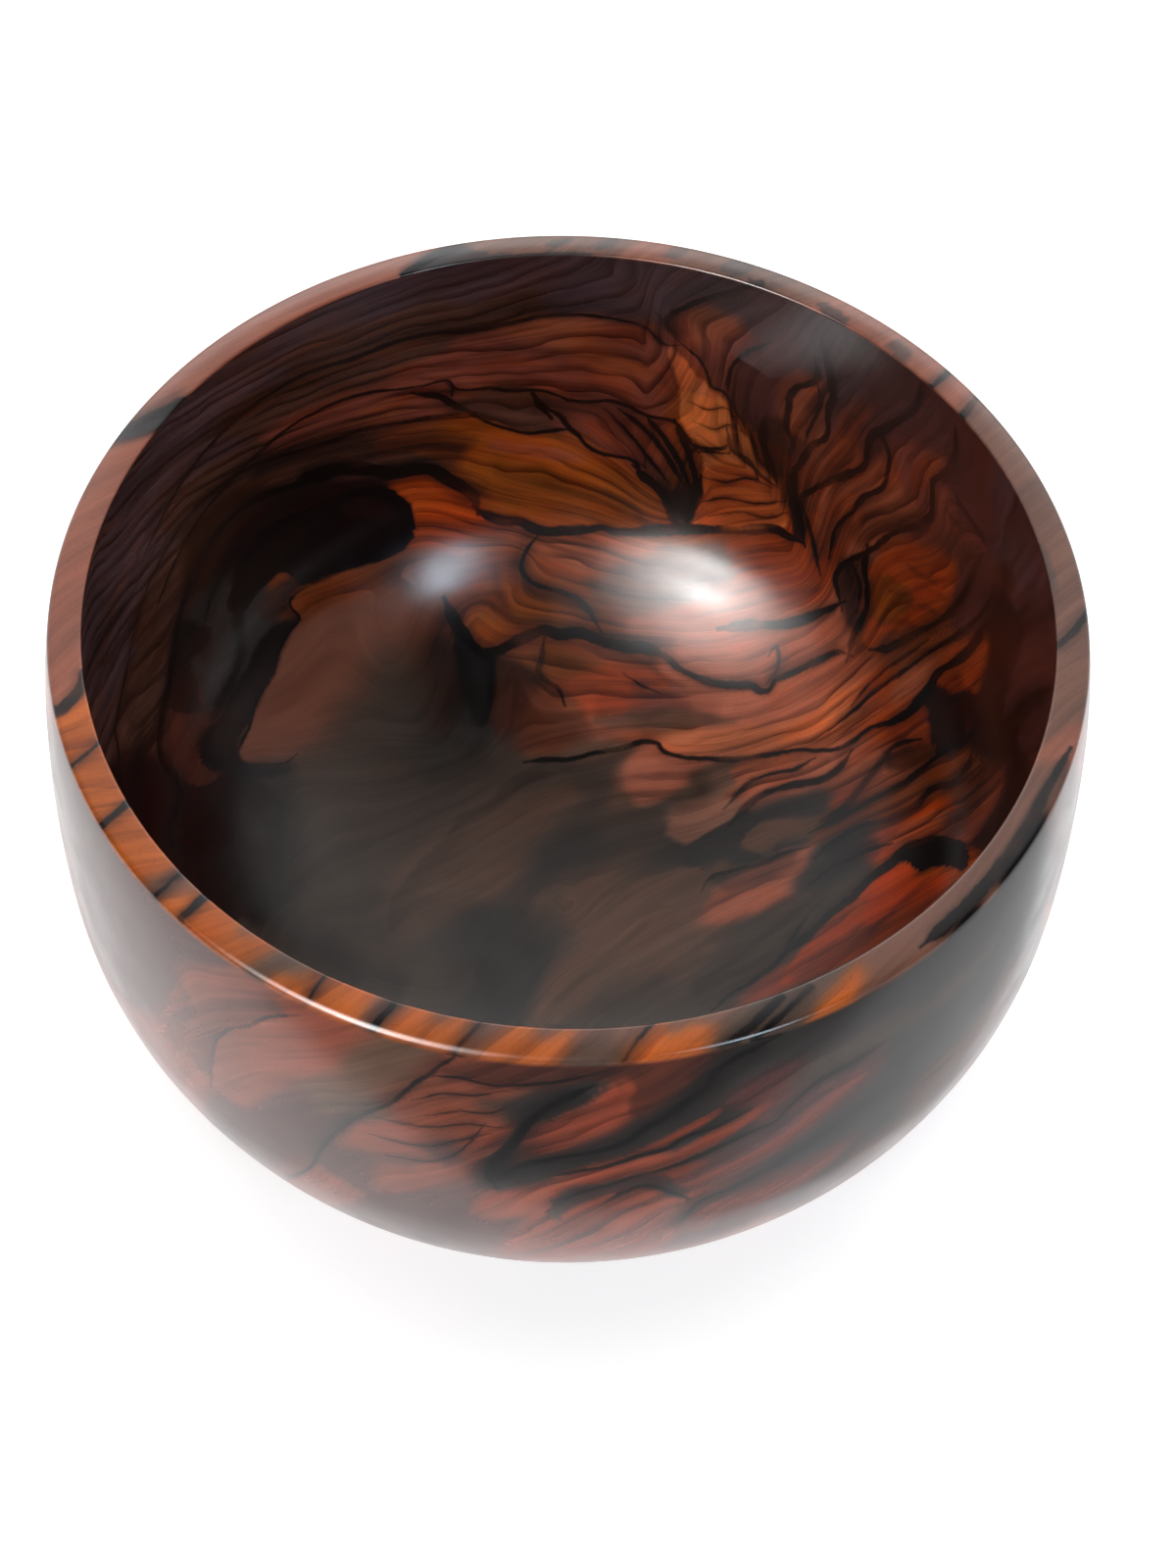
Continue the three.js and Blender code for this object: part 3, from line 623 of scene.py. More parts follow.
# Tones of the wood: where each one shows, its colour, and how many dark threads run in it
PALETTE = {
    "plum": ("Upper back wall", (0.074, 0.041, 0.048), 0.6),
    "mauve": ("Left wall", (0.090, 0.048, 0.052), 0.85),
    "wine": ("Right wall under the rim", (0.080, 0.024, 0.022), 0.4),
    "cocoa": ("Brown bands of the left wall", (0.080, 0.031, 0.020), 0.85),
    "chestnut": ("Red brown of the walls", (0.20, 0.047, 0.027), 0.85),
    "copper": ("Lighter red brown", (0.29, 0.072, 0.030), 0.85),
    "honey": ("Golden wood of the back wall", (0.26, 0.054, 0.006), 0.75),
    "gold": ("Brightest column of the back wall", (0.72, 0.19, 0.048), 0.6),
    "cinnamon": ("Orange brown of the well", (0.165, 0.037, 0.009), 0.8),
    "clay": ("Pale patch beside the grey band", (0.27, 0.11, 0.065), 0.2),
    "bark": ("Dark brown beside the black masses", (0.030, 0.008, 0.003), 0.2),
    "olive": ("Greenish golden wood", (0.18, 0.042, 0.005), 0.75),
    "orange": ("Bright leaves of the figure", (0.36, 0.051, 0.006), 0.7),
    "flame": ("Brightest leaf at the front", (0.46, 0.044, 0.004), 0.35),
    "amber": ("Pale orange streaks", (0.58, 0.155, 0.055), 0.85),
    "salmon": ("Pale red wood of the well", (0.40, 0.108, 0.054), 0.5),
    "brick": ("Deep red wood", (0.235, 0.043, 0.018), 0.6),
    "rose": ("Pale patch on the left of the well", (0.165, 0.058, 0.034), 0.08),
    "brown": ("Middle brown of the well", (0.12, 0.058, 0.034), 0.25),
    "umber": ("Grey brown of the well", (0.050, 0.032, 0.023), 0.12),
    "smoke": ("Nearly black grey wood", (0.024, 0.020, 0.018), 0.12),
    "mahogany": ("Dark red brown of the well", (0.012, 0.003, 0.0025), 0.3),
    "maroon": ("Nearly black red wood", (0.011, 0.0035, 0.004), 0.2),
    "rust": ("Dull orange brown", (0.20, 0.048, 0.022), 0.3),
    "garnet": ("Dark red wood under the rim", (0.072, 0.017, 0.009), 0.3),
    "claret": ("Outside on the left", (0.085, 0.032, 0.026), 0.08),
    "terracotta": ("Pale red leaves of the outside", (0.24, 0.058, 0.030), 0.15),
    "rim_tan": ("Pinkish brown of the rim", (0.22, 0.070, 0.042), 0.12),
    # Darker pinkish brown: partly the wood's own tone, partly painted shade on the rim's right, back and
    # inner front
    "rim_dusk": ("Darker pinkish brown of the rim", (0.125, 0.055, 0.037), 0.15),
    "rim_orange": ("Orange wood of the rim", (0.34, 0.076, 0.010), 0.35),
    "rim_dark": ("Dark wood of the rim", (0.07, 0.040, 0.028), 0.15),
    "rim_grey": ("Grey patches of the rim", (0.035, 0.030, 0.030), 0.1),
    "night": ("Black masses of the figure", (0.002, 0.0015, 0.002), 0.0),
}


class BowlSettings(PropertyGroup):
    """Finish of the bowl."""

    columns: IntProperty(
        name="Columns", description="Facets round the axis of the turned mesh", default=640, min=64)
    vein_strength: FloatProperty(
        name="Vein strength", description="How black the veins of the figure are",
        default=0.97, min=0, max=1, subtype="FACTOR")
    stain_strength: FloatProperty(
        name="Stain strength", description="How dark the stain beside the veins is",
        default=0.9, min=0, max=1, subtype="FACTOR")
    gloss_roughness: FloatProperty(
        name="Gloss roughness", description="Roughness of the polished oil finish",
        default=0.22, min=0, max=1, subtype="FACTOR")


def tone_properties():
    """One colour setting for each tone of the wood."""
    return {
        tone: FloatVectorProperty(
            name=tone.replace("_", " ").capitalize(), description=where, subtype="COLOR", default=colour)
        for tone, (where, colour, _) in PALETTE.items()
    }


BowlSettings.__annotations__.update(tone_properties())


def power_property(name, description, default):
    """Setting for the power of a lamp."""
    return FloatProperty(name=name, description=description, default=default, min=0, subtype="POWER")


class StageSettings(PropertyGroup):
    """Light and floor of the stage."""

    floor_tint: FloatVectorProperty(
        name="Floor tint", description="Colour of the pale floor", subtype="COLOR",
        default=(0.86, 0.86, 0.86))
    floor_glow: FloatProperty(
        name="Floor glow", description="Light that the pale floor gives by itself", default=0.5, min=0)
    key_power: power_property("Key power", "Lamp at the front left", 3.8)
    second_power: power_property("Second power", "Lamp at the front right", 5.0)
    back_power: power_property("Back power", "Wide soft panel behind the bowl", 5.5)
    sheen_power: power_property(
        "Sheen power", "Largest of the small cards inside the bowl that only reflections show", 0.00038)
    glint_power: power_property("Glint power", "Soft lamps that only reflections show", 30.0)
    top_power: power_property("Top power", "Wide soft panel above the bowl", 8.0)


# Section of the bowl

def bezier(*controls, steps=80):
    """Points on a Bezier curve of any degree."""
    t = np.linspace(0.0, 1.0, steps + 1)[:, None]
    layer = [np.asarray(control, float) for control in controls]
    while len(layer) > 1:
        layer = [a + (b - a) * t for a, b in zip(layer, layer[1:])]
    return layer[0]


def upper_wall(belly, rim_edge, ease):
    """Wall from the belly to just under an edge of the rim."""
    lean = np.array((math.sin(RIM_LEAN), -math.cos(RIM_LEAN)))
    top = np.array((rim_edge, HEIGHT)) + ease * lean
    span = top[1] - belly[1]
    return bezier(belly, (belly[0], belly[1] + SHOULDER_HOLD * span), top + RIM_HOLD * span * lean, top)


def outer_lower_wall(foot, belly):
    """Outside from the foot's rounded edge up to the belly."""
    reach = FOOT_HOLD * (belly[0] - foot[0])
    leaving = (foot[0] + reach * math.cos(FOOT_RISE), foot[1] + reach * math.sin(FOOT_RISE))
    return bezier(foot, leaving, (belly[0], belly[1] - FLANK_HOLD * (belly[1] - foot[1])), belly)


def inner_lower_wall(belly, well):
    """Inside from the middle of the well up to the belly."""
    under_belly = (belly[0], belly[1] - BOWL_HOLD * (belly[1] - well[1]))
    return bezier(well, (WELL_HOLD * belly[0], well[1]), under_belly, belly)


def lengths_along(points):
    """Length of a path from its start to each of its points."""
    return np.concatenate(([0.0], np.cumsum(np.linalg.norm(np.diff(points, axis=0), axis=1))))


def even_points(curve, gap):
    """The curve again, with its points about one gap apart."""
    length = lengths_along(curve)
    count = max(2, round(length[-1] / gap) + 1)
    at = np.linspace(0.0, length[-1], count)
    return np.column_stack([np.interp(at, length, curve[:, axis]) for axis in (0, 1)])


def section_stretches():
    """Curves of the section from the well over the rim to the recess: zone, curve and gap."""
    inner_belly = (BELLY_RADIUS - WALL, BELLY_HEIGHT)
    outer_belly = (BELLY_RADIUS, BELLY_HEIGHT)
    inner_rim = RIM_RADIUS - RIM_WIDTH
    inner_upper = upper_wall(inner_belly, inner_rim, RIM_INNER_EASE)
    outer_upper = upper_wall(outer_belly, RIM_RADIUS, RIM_OUTER_EASE)
    rim_start = (inner_rim + RIM_INNER_EASE, HEIGHT)
    rim_end = (RIM_RADIUS - RIM_OUTER_EASE, HEIGHT)
    foot_edge = (FOOT_RADIUS + FOOT_EASE * math.cos(FOOT_RISE), FOOT_EASE * math.sin(FOOT_RISE))
    ring_outer = (FOOT_RADIUS - FOOT_EASE, 0.0)
    recess = FOOT_RADIUS - FOOT_RING
    recess_edge = (recess - FOOT_RECESS, FOOT_RECESS)
    return (
        (INSIDE, inner_lower_wall(inner_belly, (0.0, FOOT_RECESS + FLOOR)), ROW_GAP[INSIDE]),
        (INSIDE, inner_upper, ROW_GAP[INSIDE]),
        (RIM, bezier(inner_upper[-1], (inner_rim, HEIGHT), rim_start), EASE_GAP),
        (RIM, bezier(rim_start, rim_end), ROW_GAP[RIM]),
        (RIM, bezier(rim_end, (RIM_RADIUS, HEIGHT), outer_upper[-1]), EASE_GAP),
        (OUTSIDE, outer_upper[::-1], ROW_GAP[OUTSIDE]),
        (OUTSIDE, outer_lower_wall(foot_edge, outer_belly)[::-1], ROW_GAP[OUTSIDE]),
        (FOOT, bezier(foot_edge, (FOOT_RADIUS, 0.0), ring_outer), EASE_GAP),
        (FOOT, bezier(ring_outer, (recess, 0.0)), ROW_GAP[FOOT]),
        (FOOT, bezier((recess, 0.0), (recess, FOOT_RECESS), recess_edge), 2 * EASE_GAP),
        (FOOT, bezier(recess_edge, (0.0, FOOT_RECESS)), ROW_GAP[FOOT]),
    )


def bowl_section():
    """Rows of the section with a slightly crowned rim, each with its zone."""
    points = []
    zones = []
    for zone, curve, gap in section_stretches():
        fresh = even_points(curve, gap)
        fresh = fresh[1:] if points else fresh
        points.append(fresh)
        zones += [zone] * len(fresh)
    points = np.vstack(points)
    middle = RIM_RADIUS - (RIM_WIDTH + RIM_OUTER_EASE - RIM_INNER_EASE) / 2
    near_top = np.clip((points[:, 1] - HEIGHT) / RIM_OUTER_EASE + 1, 0, 1)
    points[:, 1] -= RIM_CROWN * near_top * ((points[:, 0] - middle) / (RIM_WIDTH / 2)) ** 2
    return points, np.array(zones)


class TurnedMesh:
    """The section spun round the axis: one vertex at each pole and a grid between."""

    def __init__(self, columns):
        self.section, zones = bowl_section()
        self.columns = columns
        self.rows = len(self.section) - 2
        self.points = self._spin(self.section)
        self.normals = self._spin(self._section_normals())
        self.zones = np.concatenate([zones[:1], np.repeat(zones[1:-1], columns), zones[-1:]])
        self.face_zones = np.repeat(zones[1:], columns)
        self.faces = self._faces()

    def _spin(self, profile):
        angle = np.arange(self.columns) * (2 * math.pi / self.columns)
        outward, upward = profile[1:-1, :1], profile[1:-1, 1:]
        parts = outward * np.cos(angle), outward * np.sin(angle), upward
        grid = np.stack(np.broadcast_arrays(*parts), axis=2)
        first, last = ((0.0, 0.0, profile[end, 1]) for end in (0, -1))
        return np.vstack([first, grid.reshape(-1, 3), last])

    def _section_normals(self):
        tangent = np.gradient(self.section, axis=0)
        normal = unit(np.column_stack([-tangent[:, 1], tangent[:, 0]]))
        normal[0], normal[-1] = (0.0, 1.0), (0.0, -1.0)
        return normal

    def _faces(self):
        grid = 1 + np.arange(self.rows * self.columns).reshape(self.rows, self.columns)
        beside = np.roll(grid, -1, 1)
        first = np.zeros_like(grid[0])
        last = np.full_like(grid[0], len(self.points) - 1)
        quads = np.stack([grid[:-1], grid[1:], beside[1:], beside[:-1]], axis=2).reshape(-1, 4)
        first_fan = np.column_stack([first, grid[0], beside[0]])
        last_fan = np.column_stack([grid[-1], last, beside[-1]])
        return first_fan.tolist() + quads.tolist() + last_fan.tolist()

    def unwrap(self):
        """Texture places: the inside fills the upper half, the rim and outside the lower."""
        length = lengths_along(self.section)
        split = np.count_nonzero(self.zones[1:-1:self.columns] == INSIDE)
        edge = length[split]
        inner = 1 - MAP_MARGIN - MAP_HALF * length / edge
        outer = 0.5 - MAP_MARGIN - MAP_HALF * (length - edge) / (length[-1] - edge)
        places = []
        for row in range(len(self.section) - 1):
            near, far = (inner if row < split else outer)[row:row + 2]
            for column in range(self.columns):
                left, right = column / self.columns, (column + 1) / self.columns
                middle = (left + right) / 2
                if row == 0:
                    places += [(middle, near), (left, far), (right, far)]
                elif row == self.rows:
                    places += [(left, near), (middle, far), (right, near)]
                else:
                    places += [(left, near), (left, far), (right, far), (right, near)]
        return np.array(places)


# Camera of the photograph

def camera_axes():
    """Right, up and forward of the photograph's camera."""
    forward = Vector((0, math.cos(CAMERA_PITCH), -math.sin(CAMERA_PITCH)))
    up = Vector((0, math.sin(CAMERA_PITCH), math.cos(CAMERA_PITCH)))
    right = Vector((1, 0, 0))
    ahead = forward * math.cos(CAMERA_YAW) + right * math.sin(CAMERA_YAW)
    right = right * math.cos(CAMERA_YAW) - forward * math.sin(CAMERA_YAW)
    tilted = right * math.cos(CAMERA_ROLL) + up * math.sin(CAMERA_ROLL)
    raised = up * math.cos(CAMERA_ROLL) - right * math.sin(CAMERA_ROLL)
    return tilted, raised, ahead


def pixel_ray(x, y):
    """Direction from the camera through a pixel of the photograph."""
    right, up, ahead = camera_axes()
    across = (x - PHOTO_WIDTH / 2) / FOCAL_PIXELS
    down = (y - PHOTO_HEIGHT / 2) / FOCAL_PIXELS
    return (ahead + right * across - up * down).normalized()


def photo_pixels(points):
    """Pixel of the photograph over each point, and the millimetres that one pixel spans there."""
    right, up, ahead = (np.array(axis) for axis in camera_axes())
    offset = points - np.array(CAMERA_PLACE)
    depth = offset @ ahead
    x = PHOTO_WIDTH / 2 + FOCAL_PIXELS * (offset @ right) / depth
    y = PHOTO_HEIGHT / 2 - FOCAL_PIXELS * (offset @ up) / depth
    return np.column_stack([x, y]), depth / FOCAL_PIXELS / MM


HIDDEN_FADE = 14.0  # millimetres behind the rim over which the inside goes out of view
HIDDEN_TURN = 0.25  # cosine past the outline over which the outside goes out of view


def hidden_share(turned):
    """How far each vertex lies out of the photograph's view: 0 where it shows, 1 well out of it."""
    toward = np.array(CAMERA_PLACE) - turned.points
    facing = (turned.normals * unit(toward)).sum(1)
    rise = (HEIGHT - turned.points[:, 2]) / toward[:, 2]
    mouth = np.hypot(*(turned.points + rise[:, None] * toward)[:, :2].T)
    past_mouth = (mouth - (RIM_RADIUS - RIM_WIDTH)) / MM
    behind_rim = smoothstep(0, HIDDEN_FADE, past_mouth)
    return np.where(turned.zones == INSIDE, behind_rim, smoothstep(0, HIDDEN_TURN, -facing))


# What lies under a pixel; the scale is the metres that one pixel spans there
Hit = namedtuple("Hit", "place normal zone scale")


class Surface:
    """Places of the photograph's pixels on the turned mesh."""

    def __init__(self, turned):
        self.face_zones = turned.face_zones
        self.tree = BVHTree.FromPolygons(turned.points.tolist(), turned.faces)
        self.ahead = camera_axes()[2]

    def under(self, x, y):
        """The hit under a pixel, or None off the bowl."""
        place, normal, face, _ = self.tree.ray_cast(CAMERA_PLACE, pixel_ray(x, y))
        if place is None:
            return None
        depth = (place - CAMERA_PLACE).dot(self.ahead)
        return Hit(np.array(place), np.array(normal), int(self.face_zones[face]), depth / FOCAL_PIXELS)


# Figure of the wood

def smooth_path(points, step):
    """Catmull-Rom curve through the points, sampled about one step apart."""
    points = np.asarray(points, float)
    ends = [2 * points[0] - points[1], *points, 2 * points[-1] - points[-2]]
    samples = []
    for a, b, c, d in zip(ends, ends[1:], ends[2:], ends[3:]):
        count = max(2, int(np.hypot(*(c - b)) / step) + 1)
        square, cube = 2 * a - 5 * b + 4 * c - d, 3 * b - a - 3 * c + d
        for t in np.arange(count) / count:
            samples.append(0.5 * (2 * b + (c - a) * t + square * t ** 2 + cube * t ** 3))
    samples.append(points[-1])
    return np.array(samples)


def smoothstep(low, high, value):
    """Share from 0 at low to 1 at high, level at both ends."""
    t = np.clip((value - low) / (high - low), 0, 1)
    return t * t * (3 - 2 * t)


def unit(vectors):
    """The vectors with a length of one."""
    return vectors / (np.linalg.norm(vectors, axis=-1, keepdims=True) + 1e-12)


def squared_gaps(points, places):
    """Squared distance from each point to each place."""
    return (points ** 2).sum(1)[:, None] + (places ** 2).sum(1)[None] - 2 * points @ places.T


# Veins on the bowl, in millimetres. Veins of one family keep so far apart that one set of
# distances serves them all.
VEIN_STEP = 3.0  # pixels between samples
VEIN_FAMILIES = 4
FAMILY_GAP = 3.4
FAR = 9.0
CORE_REACH = 3.5
STAIN_SPREAD = 1.3
TAPER = (-0.6, 4.0)
TIP_WIDTH = 0.35  # share of a vein's width that is left at its ends
RIM_CROSSING = 15.0  # shorter veins on the rim run over its edges and keep their width

Trace = namedtuple("Trace", "zone places side travel taper half_width left right depth")


def trace_veins(surface, veins):
    """Veins laid on the bowl, cut into runs of places in one zone."""
    traces = []
    for vein in veins:
        run = []
        hits = [surface.under(x, y) for x, y in smooth_path(vein.path, VEIN_STEP)]
        for hit in [*hits, None]:
            if hit is not None and (not run or run[-1].zone == hit.zone):
                run.append(hit)
                continue
            if len(run) > 2:
                traces.append(trace_of(vein, run))
            run = [hit] if hit is not None else []
    return traces


def trace_of(vein, run):
    """One run of a vein with its direction, its left side and its widths at each place."""
    zone = run[0].zone
    scale = np.mean([hit.scale for hit in run]) / MM
    places = np.array([hit.place for hit in run]) / MM
    travel = unit(np.gradient(places, axis=0))
    side = np.cross([hit.normal for hit in run], travel)
    along = lengths_along(places)
    taper = smoothstep(*TAPER, along) * smoothstep(*TAPER, along[-1] - along)
    if zone == RIM and along[-1] < RIM_CROSSING:
        taper = np.ones_like(along)
    half_width = vein.width * scale / 2 * (TIP_WIDTH + (1 - TIP_WIDTH) * taper)
    left, right = (STAIN_SPREAD * reach * scale for reach in (vein.left, vein.right))
    return Trace(zone, places, side, travel, taper, half_width, left, right, vein.depth)


def wood_between(first, second):
    """Millimetres of wood between the cores of two veins, or FAR where they can't meet."""
    if first.zone != second.zone:
        return FAR
    gap = np.linalg.norm(first.places[::2, None] - second.places[None, ::2], axis=2).min()
    return gap - first.half_width.max() - second.half_width.max()


def pick_family(families, trace):
    """Number of the first family whose veins all keep clear of this one, or of the roomiest."""
    room = []
    for family in families:
        room.append(min([FAR] + [wood_between(trace, other) for other in family]))
        if room[-1] > FAMILY_GAP:
            break
    return int(np.argmax(room))


def lay_figure(turned, traces):
    """Distances to the veins, one set for each family, and the stain beside them."""
    points = turned.points / MM
    families = [[] for _ in range(VEIN_FAMILIES)]
    fields = np.zeros((VEIN_FAMILIES, len(points), 3))
    fields[..., :2] = FAR
    clear = np.ones(len(points))
    for trace in traces:
        reach = max(trace.half_width.max() + CORE_REACH, trace.left, trace.right)
        boxed = (points > trace.places.min(0) - reach) & (points < trace.places.max(0) + reach)
        near = np.flatnonzero((turned.zones == trace.zone) & boxed.all(1))
        at = points[near]
        squared = squared_gaps(at, trace.places)
        closest = squared.argmin(1)
        apart = np.sqrt(np.maximum(squared.min(1), 0))
        side = ((at - trace.places[closest]) * trace.side[closest]).sum(1)
        half = trace.half_width[closest]
        if trace.half_width.max() > 0:
            family = pick_family(families, trace)
            families[family].append(trace)
            field = fields[family]
            better = (apart < half + CORE_REACH) & (apart - half < field[near, 1] - field[near, 2])
            field[near[better]] = np.column_stack([side, apart, half])[better]
        fade = np.where(side > 0, trace.left, trace.right)
        beside = np.maximum(apart - half, 0)
        shade = np.where(fade > 0, 1 - smoothstep(0, np.maximum(fade, 1e-6), beside), 0)
        clear[near] *= 1 - trace.depth * shade * trace.taper[closest]
    return fields, 1 - clear


# Grain: it runs with the veins nearby, and elsewhere across these directions
GRAIN_ACROSS = np.array((0.50, -0.70, -0.48))
LEFT_WALL_ACROSS = np.array((0.60, 0.20, -0.80))
LEFT_WALL = (-20, -80)  # millimetres from the axis over which the left wall's direction takes over
GRAIN_STEP = 5
GRAIN_REACH = 6.0
GRAIN_FAR_REACH = 22.0
GRAIN_FAR_SHARE = 0.02
GRAIN_PARTS = 40  # a part of the vertices at a time, for the memory's sake
PLAIN_SHARE = 0.002

# Growth rings: how firmly they follow the grain and the plain direction
LEAST_TRUST = 0.1
LEAST_ROUND_STEP = 0.2
LEAST_DOWN_STEP = 0.1
PLAIN_HOLD = 2e-4
GROWTH_ROUNDS = 400


def grain_across(turned, traces):
    """Direction across the grain at each vertex, and how sure it is, from the veins nearby."""
    points = turned.points / MM
    normals = turned.normals
    leftness = smoothstep(*LEFT_WALL, points[:, :1])
    across = unit(GRAIN_ACROSS * (1 - leftness) + LEFT_WALL_ACROSS * leftness)
    across[turned.zones != INSIDE] = unit(GRAIN_ACROSS)
    plain = unit(across - normals * (across * normals).sum(1, keepdims=True))
    east = unit(np.cross(normals, plain))
    spread = np.zeros((len(points), 3))
    spread[:, 0] = PLAIN_SHARE
    for zone in (INSIDE, RIM, OUTSIDE):
        chosen = [trace for trace in traces if trace.zone == zone]
        places = np.vstack([trace.places[::GRAIN_STEP] for trace in chosen])
        travel = np.vstack([trace.travel[::GRAIN_STEP] for trace in chosen])
        products = (travel[:, :, None] * travel[:, None, :]).reshape(len(travel), 9)
        for part in np.array_split(np.flatnonzero(turned.zones == zone), GRAIN_PARTS):
            squared = squared_gaps(points[part], places)
            weight = np.exp(-squared / (2 * GRAIN_REACH ** 2))
            weight += GRAIN_FAR_SHARE * np.exp(-squared / (2 * GRAIN_FAR_REACH ** 2))
            tensor = (weight @ products).reshape(-1, 3, 3)
            u, v = east[part], plain[part]
            for slot, (a, b) in enumerate(((u, u), (u, v), (v, v))):
                spread[part, slot] += np.einsum("ni,nij,nj->n", a, tensor, b)
    twist = 2 * spread[:, 1]
    stretch = spread[:, 0] - spread[:, 2]
    lean = 0.5 * np.arctan2(twist, stretch)[:, None]
    sure = np.hypot(twist, stretch) / (spread[:, 0] + spread[:, 2])
    along = east * np.cos(lean) + plain * np.sin(lean)
    return unit(np.cross(along, normals)), sure


def solve(pull, diagonal, guess, target):
    """Grid of values whose pull is the target, by conjugate gradients from a first guess."""
    height = guess.copy()
    rest = target - pull(height)
    ready = rest / diagonal
    search = ready.copy()
    strength = (rest * ready).sum()
    for _ in range(GROWTH_ROUNDS):
        pulled = pull(search)
        step = strength / (search * pulled).sum()
        height += step * search
        rest -= step * pulled
        ready = rest / diagonal
        fresh = (rest * ready).sum()
        search = ready + fresh / strength * search
        strength = fresh
    return height


def growth_rings(turned, across, sure):
    """A height in millimetres that rises across the grain, so its level lines run with the veins."""
    shape = (turned.rows, turned.columns)
    grid = (turned.points[1:-1] / MM).reshape(*shape, 3)
    slope = across[1:-1].reshape(*shape, 3)
    trust = LEAST_TRUST + sure[1:-1].reshape(shape)
    plain = grid @ unit(GRAIN_ACROSS)
    round_step = np.roll(grid, -1, 1) - grid
    down_step = grid[1:] - grid[:-1]
    round_rise = ((slope + np.roll(slope, -1, 1)) / 2 * round_step).sum(2)
    down_rise = ((slope[1:] + slope[:-1]) / 2 * down_step).sum(2)
    round_length = np.maximum(np.linalg.norm(round_step, axis=2), LEAST_ROUND_STEP)
    down_length = np.maximum(np.linalg.norm(down_step, axis=2), LEAST_DOWN_STEP)
    round_weight = trust / round_length
    down_width = (round_length[1:] + round_length[:-1]) / 2
    down_weight = (trust[1:] + trust[:-1]) / 2 * down_width / down_length

    def spread(round_part, down_part):
        total = np.roll(round_part, 1, 1) - round_part
        total[:-1] -= down_part
        total[1:] += down_part
        return total

    def pull(height):
        round_part = round_weight * (np.roll(height, -1, 1) - height)
        down_part = down_weight * (height[1:] - height[:-1])
        return spread(round_part, down_part) + PLAIN_HOLD * height

    diagonal = round_weight + np.roll(round_weight, 1, 1) + PLAIN_HOLD
    diagonal[:-1] += down_weight
    diagonal[1:] += down_weight
    target = spread(round_weight * round_rise, down_weight * down_rise) + PLAIN_HOLD * plain
    height = solve(pull, diagonal, plain, target)
    return np.concatenate([[height[0].mean()], height.ravel(), [height[-1].mean()]])


# Tones between the veins: shape and edge of a dab, and rounds of softening
DAB_ALONG = 1.7
DAB_ACROSS = 0.75
DAB_EDGE = 5.0
GROUND_WEIGHT = 1e-30  # of the ground's tone, where no dab reaches
EVEN_ROUNDS = 6
SLOW_ROUNDS = 60
SLOW_EDGE = 5.0

# Leaves: pixels between samples of an outline, and millimetres outside it that are laid
LEAF_STEP = 5.0
LEAF_REACH = 5.0


def tone_of(settings, name):
    """Colour of a tone as square roots, which mix as the eye sees them, and its share of threads."""
    _, _, threads = PALETTE[name]
    return np.array((*np.sqrt(np.array(getattr(settings, name))), threads))


def blend_dabs(surface, turned, groups, settings, growth):
    """Tone of the wood between the veins at each vertex; dabs stretch along the grain."""
    tones = np.zeros((len(turned.points), 4))
    for zones, dabs, ground in groups:
        at = np.flatnonzero(np.isin(turned.zones, zones))
        points = turned.points[at]
        level = growth[at] * MM
        total = np.full(len(at), GROUND_WEIGHT)
        mixed = total[:, None] * tone_of(settings, ground)
        for dab in dabs:
            tone = tone_of(settings, dab.tone)
            for x, y in dab.places:
                hit = surface.under(x, y)
                if hit is None or hit.zone not in zones:
                    continue
                radius = dab.radius * hit.scale
                squared = ((points - hit.place) ** 2).sum(1)
                rise = level - level[squared.argmin()]
                along = squared / (DAB_ALONG * radius) ** 2
                weight = np.exp(-DAB_EDGE * (along + (rise / (DAB_ACROSS * radius)) ** 2))
                total += weight
                mixed += weight[:, None] * tone
        tones[at] = mixed / total[:, None]
    return tones


def soften(turned, tones, rounds):
    """Tones averaged with their neighbours on the mesh; zones keep apart."""
    shape = (turned.rows, turned.columns)
    zones = turned.zones[1:-1].reshape(shape)[:, 0]
    joined = (zones[1:] == zones[:-1])[:, None, None]
    grid = tones[1:-1].reshape(*shape, 4)
    for _ in range(rounds):
        above = np.concatenate([grid[:1], np.where(joined, grid[:-1], grid[1:])])
        below = np.concatenate([np.where(joined, grid[1:], grid[:-1]), grid[-1:]])
        beside = np.roll(grid, 1, 1) + np.roll(grid, -1, 1)
        grid = grid / 2 + (above + below + beside) / 8
    return np.concatenate([grid[0].mean(0)[None], grid.reshape(-1, 4), grid[-1].mean(0)[None]])


def soften_well(turned, tones, shown):
    """Even transitions all over, and slow ones where the well's tones run into each other."""
    even = soften(turned, tones, EVEN_ROUNDS)
    slow = soften(turned, even, SLOW_ROUNDS)
    pixels, spans = photo_pixels(turned.points)
    at = np.flatnonzero(shown & (turned.zones == INSIDE))
    share = np.zeros((len(tones), 1))
    share[at, 0] = smoothstep(-SLOW_EDGE, SLOW_EDGE, inside_by(WELL_OUTLINE, pixels[at]) * spans[at])
    return even + (slow - even) * share


def inside_by(outline, pixels):
    """How many pixels each place lies inside a closed outline; negative outside it."""
    path = smooth_path((*outline, outline[0]), LEAF_STEP)
    start, end = path[:-1], path[1:]
    run = end - start
    offset = pixels[:, None] - start
    share = np.clip((offset * run).sum(2) / ((run ** 2).sum(1) + 1e-9), 0, 1)
    away = np.sqrt(((offset - share[..., None] * run) ** 2).sum(2).min(1))
    level = pixels[:, None, 1]
    crossed = (start[:, 1] > level) != (end[:, 1] > level)
    at_x = start[:, 0] + (level - start[:, 1]) * run[:, 0] / np.where(run[:, 1] == 0, 1e-9, run[:, 1])
    odd = (crossed & (pixels[:, None, 0] < at_x)).sum(1) % 2
    return np.where(odd == 1, away, -away)


